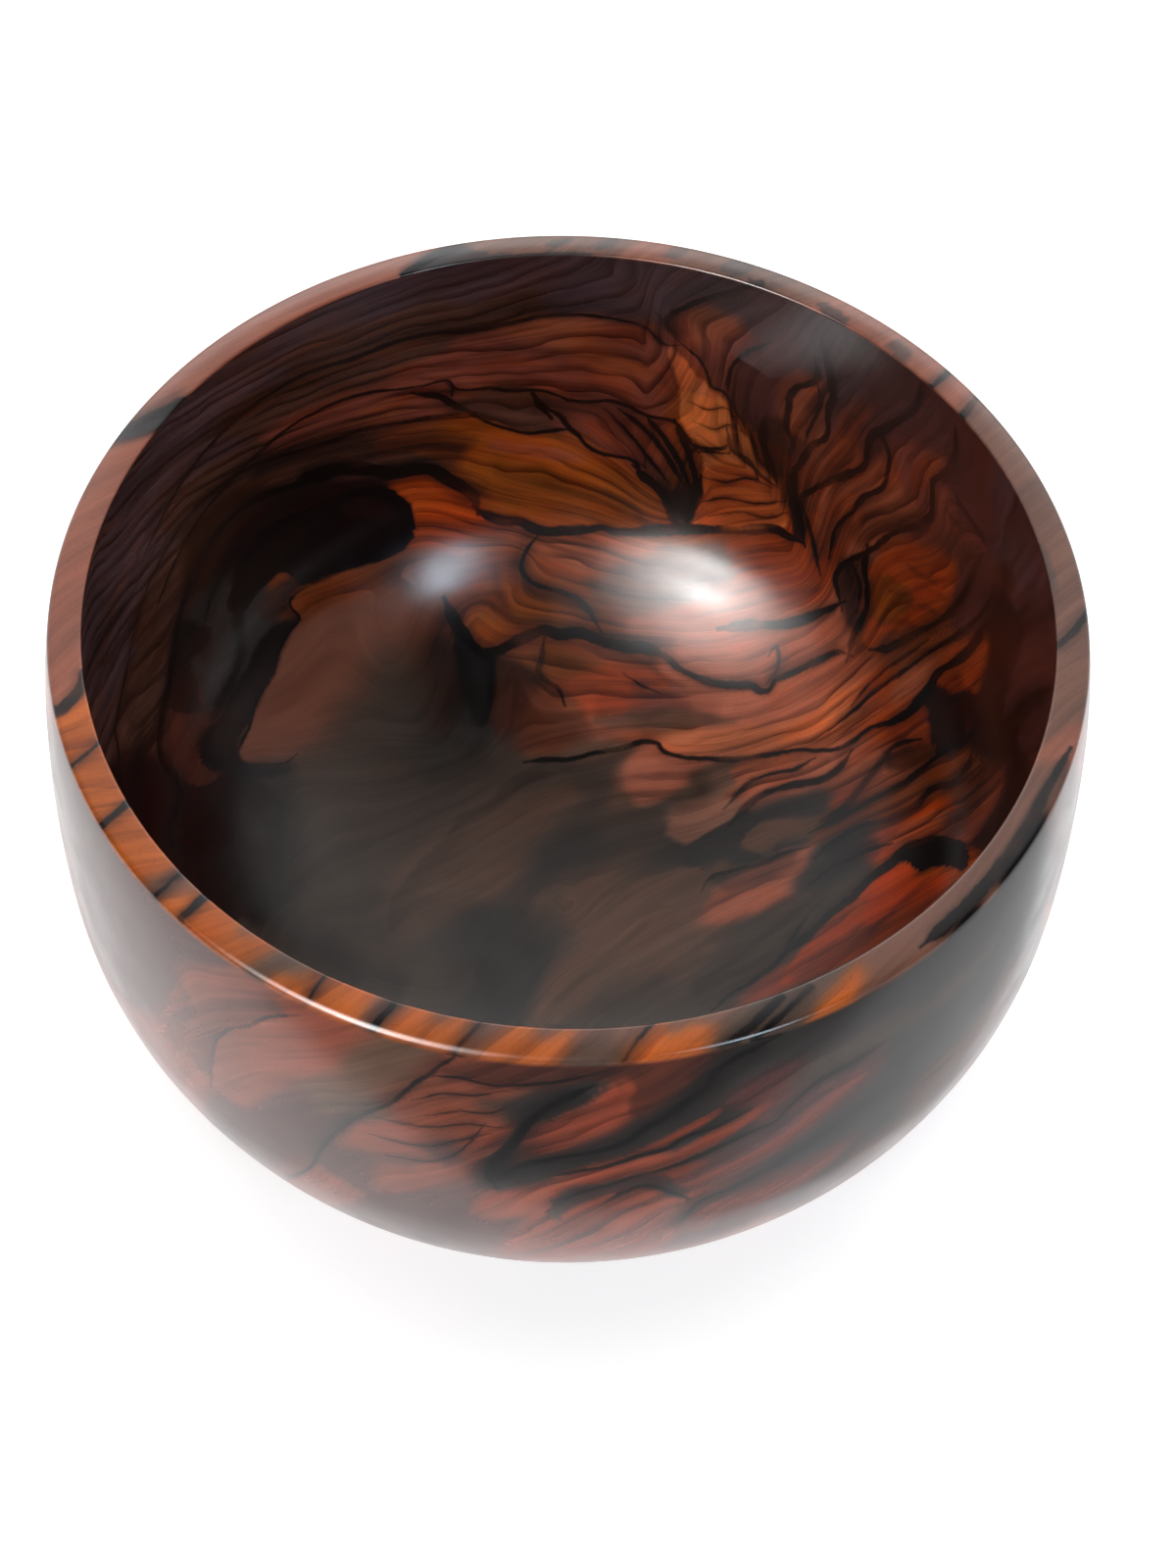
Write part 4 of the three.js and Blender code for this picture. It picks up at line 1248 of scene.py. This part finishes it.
def leaf_zone(surface, leaf):
    """Zone of the bowl that a leaf lies on."""
    if leaf.tone.startswith("rim"):
        return RIM
    hit = surface.under(*np.mean(leaf.outline, axis=0))
    return INSIDE if hit and hit.zone == INSIDE else OUTSIDE


def lay_leaves(surface, turned, leaves, settings, shown):
    """Depth inside the nearest leaf, its softness and cover, and its tone, at each vertex that shows."""
    edges = np.tile((-FAR, 1.0, 0.0), (len(turned.points), 1))
    tones = np.zeros((len(turned.points), 4))
    pixels, spans = photo_pixels(turned.points)
    margin = LEAF_REACH / spans.min()
    for leaf in leaves:
        low, high = np.min(leaf.outline, axis=0), np.max(leaf.outline, axis=0)
        boxed = ((pixels > low - margin) & (pixels < high + margin)).all(1)
        near = np.flatnonzero(boxed & shown & (turned.zones == leaf_zone(surface, leaf)))
        depth = inside_by(leaf.outline, pixels[near]) * spans[near]
        better = depth > np.maximum(edges[near, 0], -LEAF_REACH)
        edges[near[better], 0] = depth[better]
        edges[near[better], 1:] = leaf.soft, leaf.cover
        tones[near[better]] = tone_of(settings, leaf.tone)
    return edges, tones


# Shader nodes

COLOUR_A, COLOUR_B, COLOUR_RESULT = 6, 7, 2  # sockets of a Mix node that mixes colours
FLOAT_A, FLOAT_B = 2, 3  # sockets of a Mix node that mixes numbers


class Nodes:
    """Adds nodes to a tree and links them."""

    def __init__(self, tree):
        self.tree = tree

    def add(self, kind, **settings):
        node = self.tree.nodes.new(kind)
        for name, value in settings.items():
            setattr(node, name, value)
        return node

    def feed(self, socket, value):
        if isinstance(value, bpy.types.NodeSocket):
            self.tree.links.new(value, socket)
        else:
            socket.default_value = value

    def fill(self, node, values):
        for key, value in values.items():
            self.feed(node.inputs[key], value)
        return node

    def math(self, operation, *values, clamp=False):
        node = self.add("ShaderNodeMath", operation=operation, use_clamp=clamp)
        return self.fill(node, dict(enumerate(values))).outputs[0]

    def times(self, first, *others):
        for other in others:
            first = self.math("MULTIPLY", first, other)
        return first

    def plus(self, first, *others):
        for other in others:
            first = self.math("ADD", first, other)
        return first

    def scale(self, vector, factor):
        node = self.add("ShaderNodeVectorMath", operation="SCALE")
        return self.fill(node, {0: vector, "Scale": factor}).outputs[0]

    def split(self, vector):
        return self.fill(self.add("ShaderNodeSeparateXYZ"), {0: vector}).outputs

    def remap(self, value, low, high, start=0.0, end=1.0, smooth=True):
        node = self.add("ShaderNodeMapRange", interpolation_type="SMOOTHSTEP" if smooth else "LINEAR")
        return self.fill(node, dict(enumerate((value, low, high, start, end)))).outputs[0]

    def mix(self, factor, a, b, blend="MIX"):
        node = self.add("ShaderNodeMix", data_type="RGBA", blend_type=blend)
        return self.fill(node, {0: factor, COLOUR_A: a, COLOUR_B: b}).outputs[COLOUR_RESULT]

    def blend(self, factor, a, b):
        node = self.add("ShaderNodeMix", data_type="FLOAT")
        return self.fill(node, {0: factor, FLOAT_A: a, FLOAT_B: b}).outputs[0]

    def noise(self, vector, scale, detail, roughness=0.5, drift=None):
        node = self.add("ShaderNodeTexNoise", noise_dimensions="3D" if drift is None else "4D")
        self.fill(node, {"Vector": vector, "Scale": scale, "Detail": detail, "Roughness": roughness})
        if drift is not None:
            self.feed(node.inputs["W"], drift)
        return node.outputs["Fac"]

    def attribute(self, name, output="Fac"):
        return self.add("ShaderNodeAttribute", attribute_name=name).outputs[output]


# Figured wood: colours of its dark parts, and factors of its late and warm wood
BLACK_WOOD = (0.0025, 0.002, 0.002, 1.0)
STAINED_WOOD = (0.008, 0.0055, 0.005, 1.0)
PORE_WOOD = (0.02, 0.012, 0.01, 1.0)
LATE_WOOD = (0.14, 0.09, 0.09, 1.0)
WARM_WOOD = (1.15, 0.85, 0.55, 1.0)

# Noises all through the wood: scale per millimetre, and detail
NOISES = {
    "wander": (0.35, 3.0),
    "swell": (0.08, 2.0),
    "wobble": (0.045, 2.0),
    "fading": (0.06, 2.0),
    "pores": (2.2, 1.0),
    "polish": (0.08, 4.0),
}
# Noises along the grain: scale per millimetre, detail, roughness, and pace across the rings
GRAIN_NOISES = {
    "bands": (0.012, 3.0, 0.6, 0.33),
    "fibres": (0.03, 2.0, 0.6, 1.6),
    "strands": (0.03, 1.0, 0.5, 0.55),
    "clouds": (0.03, 3.0, 0.55, 0.09),
    "warmth": (0.05, 2.0, 0.5, 0.16),
    "wild_bands": (0.010, 2.0, 0.55, 0.060),
    "wild_veins": (0.014, 2.0, 0.5, 0.085),
}
NOISE_MIDDLE = 0.5
MIDDLE = (0.3, 0.7)  # usual range of a noise
WIDE = (0.25, 0.75)

# Black cores of the veins, in millimetres
WANDER = 0.9
SWELL = (0.85, 1.5)
CORE_EDGE = (-0.40, 0.40)
CORE_HOLD = (1.1, 1.9)
LEAST_HALF = 0.02
FADING = (0.34, 0.52, 0.6, 1.0)

# Leaves, and the wild figure where the photograph shows nothing
FEATHER = (-0.6, 0.6)
RAGGED = (0.6, 2.4)
WILD_EDGE = (0.2, 0.6)
WILD_LINE = (0.0075, 0.030)
WILD_STAIN = (0.38, 0.5)
WILD_STAIN_END = (0.5, 0.505)
WILD_STAIN_DEPTH = 0.75
WILD_TONES = {
    "maroon": 0.30, "wine": 0.38, "chestnut": 0.45, "brick": 0.50, "copper": 0.55, "umber": 0.66,
}

# Streaks, stain, pores and polish
WARM_EDGE = (0.45, 0.65)
STREAKS = {"bands": (-0.38, 0.34), "fibres": (-0.20, 0.20), "clouds": (-0.40, 0.34)}
CALM_STREAKS = 0.25  # share of the streaks that is left where no threads run
PATCHY_STAIN = (1.25, 0.75)
PORE_EDGE = (0.66, 0.74)
PORE_DEPTH = 0.35
PORE_BUMP = {"Strength": 0.05, "Distance": 0.1 * MM}
UNEVEN_POLISH = (-0.03, 0.03)
SPECULAR = 0.45

# Late wood: dark lines at the end of each growth ring
RINGS = 0.24  # per millimetre
RING_WOBBLE = 1.8
RING_RISE = (0.35, 0.96)
RING_END = (0.96, 1.0)
RING_SEED = 5.17
RING_NOISE = (0.03, 1.0, 0.5)
RING_CLEAR = (0.36, 0.60, 0.2, 1.0)


def wood_noises(nodes, place, growth):
    """Every noise of the wood by its name."""
    noises = {name: nodes.noise(place, *row) for name, row in NOISES.items()}
    for name, (*row, pace) in GRAIN_NOISES.items():
        noises[name] = grain_noise(nodes, place, row, nodes.times(growth, pace))
    return noises


def grain_noise(nodes, place, row, drift):
    """Noise that changes slowly along the grain, and across it with the drift."""
    scale, detail, roughness = row
    return nodes.noise(nodes.scale(place, scale), 1.0, detail, roughness, drift)


def vein_ink_group():
    """Mask of the black core of one family of veins, from its distances in millimetres."""
    group = bpy.data.node_groups.new("vein_ink", "ShaderNodeTree")
    group.interface.new_socket("Ink", in_out="OUTPUT", socket_type="NodeSocketFloat")
    for name, kind in (("Distances", "Vector"), ("Wander", "Float"), ("Swell", "Float")):
        group.interface.new_socket(name, in_out="INPUT", socket_type=f"NodeSocket{kind}")
    nodes = Nodes(group)
    inputs = nodes.add("NodeGroupInput").outputs
    side, apart, drawn_half = nodes.split(inputs["Distances"])
    half = nodes.times(drawn_half, inputs["Swell"])
    off = nodes.math("ABSOLUTE", nodes.plus(side, inputs["Wander"]))
    core = nodes.remap(nodes.math("SUBTRACT", off, half), *CORE_EDGE, 1.0, 0.0)
    held = nodes.remap(nodes.math("SUBTRACT", apart, half), *CORE_HOLD, 1.0, 0.0)
    drawn = nodes.math("GREATER_THAN", half, LEAST_HALF)
    nodes.feed(nodes.add("NodeGroupOutput").inputs["Ink"], nodes.times(core, held, drawn))
    return group


def vein_ink(nodes, noises, wander):
    """Mask of the black cores of all veins, fainter in places."""
    swell = nodes.remap(noises["swell"], *MIDDLE, *SWELL)
    group = vein_ink_group()
    ink = 0.0
    for family in range(VEIN_FAMILIES):
        node = nodes.add("ShaderNodeGroup", node_tree=group)
        distances = nodes.attribute(f"vein_{family}", "Vector")
        nodes.fill(node, {"Distances": distances, "Wander": wander, "Swell": swell})
        ink = nodes.math("MAXIMUM", ink, node.outputs["Ink"])
    return nodes.times(ink, nodes.remap(noises["fading"], *FADING))


def lay_leaf(nodes, layer, feather, tone, threads):
    """One layer of leaves over the tone and its threads, with edges that feather along the grain."""
    depth, soft, cover = nodes.split(nodes.attribute(f"leaf_{layer}", "Vector"))
    edge = nodes.math("DIVIDE", nodes.plus(depth, feather), soft)
    mask = nodes.times(nodes.remap(edge, -1.0, 1.0), cover)
    leaf = nodes.add("ShaderNodeAttribute", attribute_name=f"leaf_tone_{layer}").outputs
    return nodes.mix(mask, tone, leaf["Color"]), nodes.blend(mask, threads, leaf["Alpha"])


def wild_figure(nodes, noises):
    """Colour of the wood where the photograph doesn't show it: banded tones with black veins."""
    ramp = nodes.add("ShaderNodeValToRGB")
    stops = ramp.color_ramp.elements
    stops.remove(stops[1])
    for tone, at in WILD_TONES.items():
        _, colour, _ = PALETTE[tone]
        stops.new(at).color = (*colour, 1.0)
    stops.remove(stops[0])
    nodes.feed(ramp.inputs[0], noises["wild_bands"])
    veins = noises["wild_veins"]
    off = nodes.math("ABSOLUTE", nodes.math("SUBTRACT", veins, NOISE_MIDDLE))
    ink = nodes.remap(off, *WILD_LINE, 1.0, 0.0)
    stained = nodes.times(nodes.remap(veins, *WILD_STAIN), nodes.remap(veins, *WILD_STAIN_END, 1.0, 0.0))
    dark = nodes.math("MAXIMUM", ink, nodes.times(stained, WILD_STAIN_DEPTH))
    return nodes.mix(dark, ramp.outputs["Color"], BLACK_WOOD)


def drawn_tone(nodes, noises, wander):
    """Tone of the wood with its leaves, and how many threads run in it."""
    feather = nodes.plus(nodes.remap(noises["strands"], *WIDE, *FEATHER, smooth=False), wander)
    base = nodes.add("ShaderNodeAttribute", attribute_name="tone").outputs
    tone, threads = base["Color"], base["Alpha"]
    for layer in range(len(LEAF_LAYERS)):
        tone, threads = lay_leaf(nodes, layer, feather, tone, threads)
    ragged = nodes.times(nodes.attribute("hidden"), nodes.remap(noises["strands"], *MIDDLE, *RAGGED))
    tone = nodes.mix(nodes.remap(ragged, *WILD_EDGE), tone, wild_figure(nodes, noises))
    return tone, threads


def streaked(nodes, noises, tone, threads):
    """The tone with warm patches, and with lighter and darker streaks along the grain."""
    warm = nodes.times(nodes.remap(noises["warmth"], *WARM_EDGE), threads)
    tone = nodes.mix(warm, tone, WARM_WOOD, "MULTIPLY")
    streaks = nodes.plus(*(nodes.remap(noises[name], *MIDDLE, *lift) for name, lift in STREAKS.items()))
    lively = nodes.plus(nodes.times(threads, 1 - CALM_STREAKS), CALM_STREAKS)
    return nodes.mix(1.0, tone, nodes.plus(nodes.times(streaks, lively), 1.0), "MULTIPLY")


def late_lines(nodes, noises, place, growth):
    """Mask of the dark lines that end the growth rings, clearer in some rings than in others."""
    phase = nodes.plus(nodes.times(growth, RINGS), nodes.times(noises["wobble"], RING_WOBBLE))
    tooth = nodes.math("FRACT", phase)
    ring = nodes.times(nodes.remap(tooth, *RING_RISE), nodes.remap(tooth, *RING_END, 1.0, 0.0))
    turn = nodes.times(nodes.math("FLOOR", phase), RING_SEED)
    return nodes.times(ring, nodes.remap(grain_noise(nodes, place, RING_NOISE, turn), *RING_CLEAR))


def satin_polish(nodes, noises, tone, roughness):
    """Oiled surface of the wood: an uneven satin gloss, with fine pores."""
    bump = nodes.fill(nodes.add("ShaderNodeBump"), {**PORE_BUMP, "Height": noises["pores"]})
    uneven = nodes.remap(noises["polish"], *MIDDLE, *UNEVEN_POLISH)
    shader = nodes.fill(nodes.add("ShaderNodeBsdfPrincipled"), {
        "Base Color": tone,
        "Specular IOR Level": SPECULAR,
        "Roughness": nodes.plus(uneven, roughness),
        "Normal": bump.outputs[0],
    })
    return shader.outputs[0]


def figured_wood(settings):
    """Oiled dark hardwood: toned wood, black veins, growth streaks, pores and a satin polish."""
    material = bpy.data.materials.new("figured_wood")
    material.use_nodes = True
    material.node_tree.nodes.clear()
    nodes = Nodes(material.node_tree)
    place = nodes.scale(nodes.add("ShaderNodeTexCoord").outputs["Object"], 1 / MM)
    growth = nodes.attribute("growth")
    noises = wood_noises(nodes, place, growth)
    wander = nodes.times(nodes.math("SUBTRACT", noises["wander"], NOISE_MIDDLE), WANDER)
    tone, threads = drawn_tone(nodes, noises, wander)
    tone = streaked(nodes, noises, tone, threads)
    late = nodes.times(late_lines(nodes, noises, place, growth), threads)
    tone = nodes.mix(late, tone, LATE_WOOD, "MULTIPLY")
    patches = nodes.remap(noises["bands"], *WIDE, *PATCHY_STAIN)
    stained = nodes.math("MULTIPLY", nodes.attribute("stain"), patches, clamp=True)
    tone = nodes.mix(nodes.times(stained, settings.stain_strength), tone, STAINED_WOOD)
    ink = nodes.times(vein_ink(nodes, noises, wander), settings.vein_strength)
    tone = nodes.mix(ink, tone, BLACK_WOOD)
    tone = nodes.mix(nodes.remap(noises["pores"], *PORE_EDGE, 0.0, PORE_DEPTH), tone, PORE_WOOD)
    shader = satin_polish(nodes, noises, tone, settings.gloss_roughness)
    nodes.feed(nodes.add("ShaderNodeOutputMaterial").inputs["Surface"], shader)
    return material


# Bowl

VEINS = BACK_WALL_VEINS + LEFT_WALL_VEINS + MIDDLE_VEINS + FLOOR_VEINS + RIM_VEINS + OUTSIDE_VEINS
LEAF_LAYERS = (LEAVES, MARKS)
# Zones, the dabs in them, and the tone of the ground below
DAB_GROUPS = (
    ((INSIDE,), INSIDE_DABS, "umber"),
    ((RIM,), RIM_DABS, "rim_tan"),
    ((OUTSIDE, FOOT), OUTSIDE_DABS, "brick"),
)
ATTRIBUTE_KEYS = {"FLOAT": "value", "FLOAT_VECTOR": "vector", "FLOAT_COLOR": "color"}


def store(mesh, name, kind, values):
    """Writes one value per vertex as a mesh attribute."""
    attribute = mesh.attributes.new(name, kind, "POINT")
    attribute.data.foreach_set(ATTRIBUTE_KEYS[kind], np.ascontiguousarray(values, np.float32).ravel())


def as_paint(tones):
    """Tones as stored colours, with the share of threads as the fourth channel."""
    return np.column_stack([tones[:, :3] ** 2, tones[:, 3]])


def figure_attributes(turned, settings):
    """Name, kind and values of each mesh attribute that the figured wood reads."""
    surface = Surface(turned)
    traces = trace_veins(surface, VEINS)
    growth = growth_rings(turned, *grain_across(turned, traces))
    fields, stained = lay_figure(turned, traces)
    hidden = hidden_share(turned)
    tones = blend_dabs(surface, turned, DAB_GROUPS, settings, growth)
    for family, field in enumerate(fields):
        yield f"vein_{family}", "FLOAT_VECTOR", field
    yield "stain", "FLOAT", stained
    yield "tone", "FLOAT_COLOR", as_paint(soften_well(turned, tones, hidden == 0))
    yield "hidden", "FLOAT", hidden
    for layer, leaves in enumerate(LEAF_LAYERS):
        edges, leaf_tones = lay_leaves(surface, turned, leaves, settings, hidden == 0)
        yield f"leaf_{layer}", "FLOAT_VECTOR", edges
        yield f"leaf_tone_{layer}", "FLOAT_COLOR", as_paint(leaf_tones)
    yield "growth", "FLOAT", growth


class OBJECT_OT_turned_bowl(Operator):
    """Turns the bowl and lays the figure of its wood on it"""

    bl_idname = "object.turned_bowl"
    bl_label = "Turned bowl"

    def execute(self, context):
        settings = context.scene.bowl_settings
        turned = TurnedMesh(settings.columns)
        mesh = bpy.data.meshes.new("bowl_body")
        mesh.from_pydata(turned.points.tolist(), [], turned.faces)
        mesh.shade_smooth()
        places = mesh.uv_layers.new(name="OFBake")
        places.uv.foreach_set("vector", turned.unwrap().astype(np.float32).ravel())
        for name, kind, values in figure_attributes(turned, settings):
            store(mesh, name, kind, values)
        mesh.materials.append(figured_wood(settings))
        bowl = bpy.data.objects.new("bowl_body", mesh)
        context.collection.objects.link(bowl)
        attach(bowl, "root")
        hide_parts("bowl")
        return {"FINISHED"}


# Stage

WHITE = (1.0, 1.0, 1.0)
FLOOR_REACH = 6.0
FLOOR_SIDES = 64
FLOOR_FINISH = {"Roughness": 0.9, "Specular IOR Level": 0.1}
# Matte finish of the cards that carry painted floor shadow
SHADOW_FINISH = {"Roughness": 1.0}
CLIP_START = 0.01

# Lamps face the bowl's middle: name, setting of the power, place, size, tint, seen in reflections
LIT_PLACE = (0.0, 0.0, 0.08)
KEY_PLACE = (-0.563, -0.765, 0.83)
SECOND_PLACE = (0.588, -0.771, 0.79)
LAMPS = (
    ("key_lamp", "key_power", KEY_PLACE, (0.28, 0.28), (1.0, 0.98, 0.96), False),
    ("second_lamp", "second_power", SECOND_PLACE, (0.60, 0.17), (0.82, 0.90, 1.0), False),
    ("back_panel", "back_power", (0.0, 1.30, 1.00), (1.8, 0.5), WHITE, True),
    ("top_panel", "top_power", (0.0, 0.1, 1.4), (1.0, 1.0), WHITE, False),
)

# Glints show in reflections only: name, place, size, share of their power, roll, tint
KEY_ROLL = math.radians(15)
SECOND_ROLL = math.radians(-20)
GLINTS = (
    ("key_core", KEY_PLACE, (0.27, 0.66), 0.55, KEY_ROLL, (1.0, 1.0, 0.98)),
    ("key_bloom", (-0.574, -0.780, 0.845), (0.57, 1.55), 0.62, KEY_ROLL, WHITE),
    ("key_haze", (-0.586, -0.796, 0.860), (0.92, 2.00), 0.64, KEY_ROLL, WHITE),
    ("second_glint", (0.541, -0.798, 0.86), (0.20, 0.60), 0.185, SECOND_ROLL, (0.68, 0.85, 1.0)),
)

# Cards inside the bowl whose sheen shows under the back rim, each larger than the one before
SHEEN_PLACE = Vector((0.0485, 0.0787, 0.119))
SHEEN_TARGET = Vector((0.0615, 0.0837, 0.146))
SHEEN_SIZES = ((0.014, 0.003), (0.024, 0.006), (0.034, 0.009), (0.044, 0.012), (0.054, 0.015))
SHEEN_GAP = 0.0003

# Painted shadow on the floor in front of and beside the bowl, on cards that show in reflections only: name,
# height, shade, glow, corners
FLOOR_SHADOWS = (
    # Painted shadow on the floor in front of the bowl
    ("dark_flag", 0.002, 0.12, 0.0, (
        (-0.35, -0.62), (0.60, -0.62), (0.45, -0.17), (0.10, -0.175), (0.04, -0.157), (-0.10, -0.188),
        (-0.20, -0.18))),
    # Painted shadow of the bowl on the floor beside it, on its right
    ("grey_flag", 0.001, 0.50, 0.25, (
        (0.05, -0.62), (0.60, -0.62), (0.60, 0.02), (0.24, 0.02), (0.16, -0.02), (0.11, -0.09),
        (0.05, -0.14))),
)

# Sky: it glows behind the bowl, up to some height, and is pale to the camera
SKY_BEHIND = (0.0, 0.5)
SKY_LOW = (0.80, 0.98)
SKY_GLOW = 1.35
SKY_LEAST = 0.02
SKY_SEEN = 0.95


def matte_card(name, corners, height, tint, glow, finish):
    """Level sheet of a matte material that may glow."""
    mesh = bpy.data.meshes.new(name)
    mesh.from_pydata([(x, y, height) for x, y in corners], [], [tuple(range(len(corners)))])
    material = bpy.data.materials.new(name)
    material.use_nodes = True
    Nodes(material.node_tree).fill(material.node_tree.nodes["Principled BSDF"], {
        "Base Color": (*tint, 1.0),
        "Emission Color": (*WHITE, 1.0),
        "Emission Strength": glow,
        **finish,
    })
    mesh.materials.append(material)
    return bpy.data.objects.new(name, mesh)


def stage_floor(settings):
    """Wide pale floor under the bowl."""
    angle = np.arange(FLOOR_SIDES) * (2 * math.pi / FLOOR_SIDES)
    corners = np.column_stack([FLOOR_REACH * np.cos(angle), FLOOR_REACH * np.sin(angle)]).tolist()
    return matte_card("pale_floor", corners, 0.0, settings.floor_tint, settings.floor_glow, FLOOR_FINISH)


def floor_shadow_card(name, height, shade, glow, corners):
    """Card on the floor in front of the bowl that only reflections show: painted shadow on the floor."""
    shade_card = matte_card(name, corners, height, (shade, shade, shade), glow, SHADOW_FINISH)
    shade_card.visible_camera = False
    shade_card.visible_diffuse = False
    shade_card.visible_shadow = False
    shade_card.visible_transmission = False
    return shade_card


def panel_light(name, place, target, size, power, tint, roll=0.0):
    """Elliptical soft light that faces a target."""
    light = bpy.data.lights.new(name, "AREA")
    light.shape = "ELLIPSE"
    light.size, light.size_y = size
    light.energy = power
    light.color = tint
    panel = bpy.data.objects.new(name, light)
    panel.location = place
    facing = (Vector(target) - Vector(place)).to_track_quat("-Z", "Y")
    panel.rotation_euler = (facing @ Quaternion((0.0, 0.0, 1.0), roll)).to_euler()
    panel.visible_camera = False
    return panel


def stage_lamps(settings):
    """Lamps that light the bowl."""
    lamps = []
    for name, power, place, size, tint, glossy in LAMPS:
        lamp = panel_light(name, place, LIT_PLACE, size, getattr(settings, power), tint)
        lamp.visible_glossy = glossy
        lamps.append(lamp)
    return lamps


def stage_glints(settings):
    """Lamps and cards that only reflections show."""
    glints = []
    for name, place, size, share, roll, tint in GLINTS:
        power = share * settings.glint_power
        glints.append(panel_light(name, place, LIT_PLACE, size, power, tint, roll))
    largest = math.prod(SHEEN_SIZES[-1])
    away = (SHEEN_PLACE - SHEEN_TARGET).normalized()
    for step, size in enumerate(SHEEN_SIZES):
        place = SHEEN_PLACE + step * SHEEN_GAP * away
        power = settings.sheen_power * math.prod(size) / largest
        glints.append(panel_light(f"sheen_card_{step}", place, SHEEN_TARGET, size, power, WHITE))
    for glint in glints:
        glint.visible_diffuse = False
    return glints


def photo_camera():
    """Camera where the photograph was taken."""
    lens = bpy.data.cameras.new("photo_camera")
    lens.lens = CAMERA_LENS
    lens.sensor_width = SENSOR
    lens.clip_start = CLIP_START
    camera = bpy.data.objects.new("photo_camera", lens)
    right, up, ahead = camera_axes()
    turn = Matrix((right, up, -ahead)).transposed()
    camera.matrix_world = Matrix.Translation(CAMERA_PLACE) @ turn.to_4x4()
    return camera


def stage_sky():
    """Soft light from all round: brighter behind the bowl, dim overhead, pale to the camera."""
    world = bpy.data.worlds.new("soft_studio")
    world.use_nodes = True
    world.node_tree.nodes.clear()
    nodes = Nodes(world.node_tree)
    _, back, up = nodes.split(nodes.add("ShaderNodeTexCoord").outputs["Generated"])
    glow = nodes.times(nodes.remap(back, *SKY_BEHIND), nodes.remap(up, *SKY_LOW, 1.0, 0.0), SKY_GLOW)
    seen = nodes.add("ShaderNodeLightPath").outputs["Is Camera Ray"]
    strength = nodes.blend(seen, nodes.plus(glow, SKY_LEAST), SKY_SEEN)
    shade = nodes.fill(nodes.add("ShaderNodeBackground"), {"Strength": strength})
    nodes.feed(nodes.add("ShaderNodeOutputWorld").inputs["Surface"], shade.outputs[0])
    return world


class SCENE_OT_photo_stage(Operator):
    """Sets the pale floor, the studio lights and the camera of the photograph"""

    bl_idname = "scene.photo_stage"
    bl_label = "Photo stage"

    def execute(self, context):
        settings = context.scene.stage_settings
        floor = stage_floor(settings)
        # Painted shadow on the floor, seen only in reflections
        shade_cards = [floor_shadow_card(*shade_card) for shade_card in FLOOR_SHADOWS]
        camera = photo_camera()
        for item in (floor, *shade_cards, camera, *stage_lamps(settings), *stage_glints(settings)):
            context.collection.objects.link(item)
        context.scene.camera = camera
        context.scene.world = stage_sky()
        context.scene.view_settings.view_transform = "Standard"
        return {"FINISHED"}


class VIEW3D_PT_bowl(Panel):
    """Settings and steps of the bowl"""

    bl_label = "Figured bowl"
    bl_idname = "VIEW3D_PT_bowl"
    bl_space_type = "VIEW_3D"
    bl_region_type = "UI"
    bl_category = "Bowl"

    def draw(self, context):
        for group in (context.scene.bowl_settings, context.scene.stage_settings):
            for name in group.__annotations__:
                self.layout.prop(group, name)
        for operator in (OBJECT_OT_turned_bowl, SCENE_OT_photo_stage):
            self.layout.operator(operator.bl_idname)


CLASSES = (BowlSettings, StageSettings, OBJECT_OT_turned_bowl, SCENE_OT_photo_stage, VIEW3D_PT_bowl)


def register():
    for item in CLASSES:
        bpy.utils.register_class(item)
    bpy.types.Scene.bowl_settings = PointerProperty(type=BowlSettings)
    bpy.types.Scene.stage_settings = PointerProperty(type=StageSettings)


def unregister():
    del bpy.types.Scene.bowl_settings
    del bpy.types.Scene.stage_settings
    for item in reversed(CLASSES):
        bpy.utils.unregister_class(item)


def main():
    register()
    bpy.ops.object.turned_bowl()
    bpy.ops.scene.photo_stage()


if __name__ == "__main__":
    main()
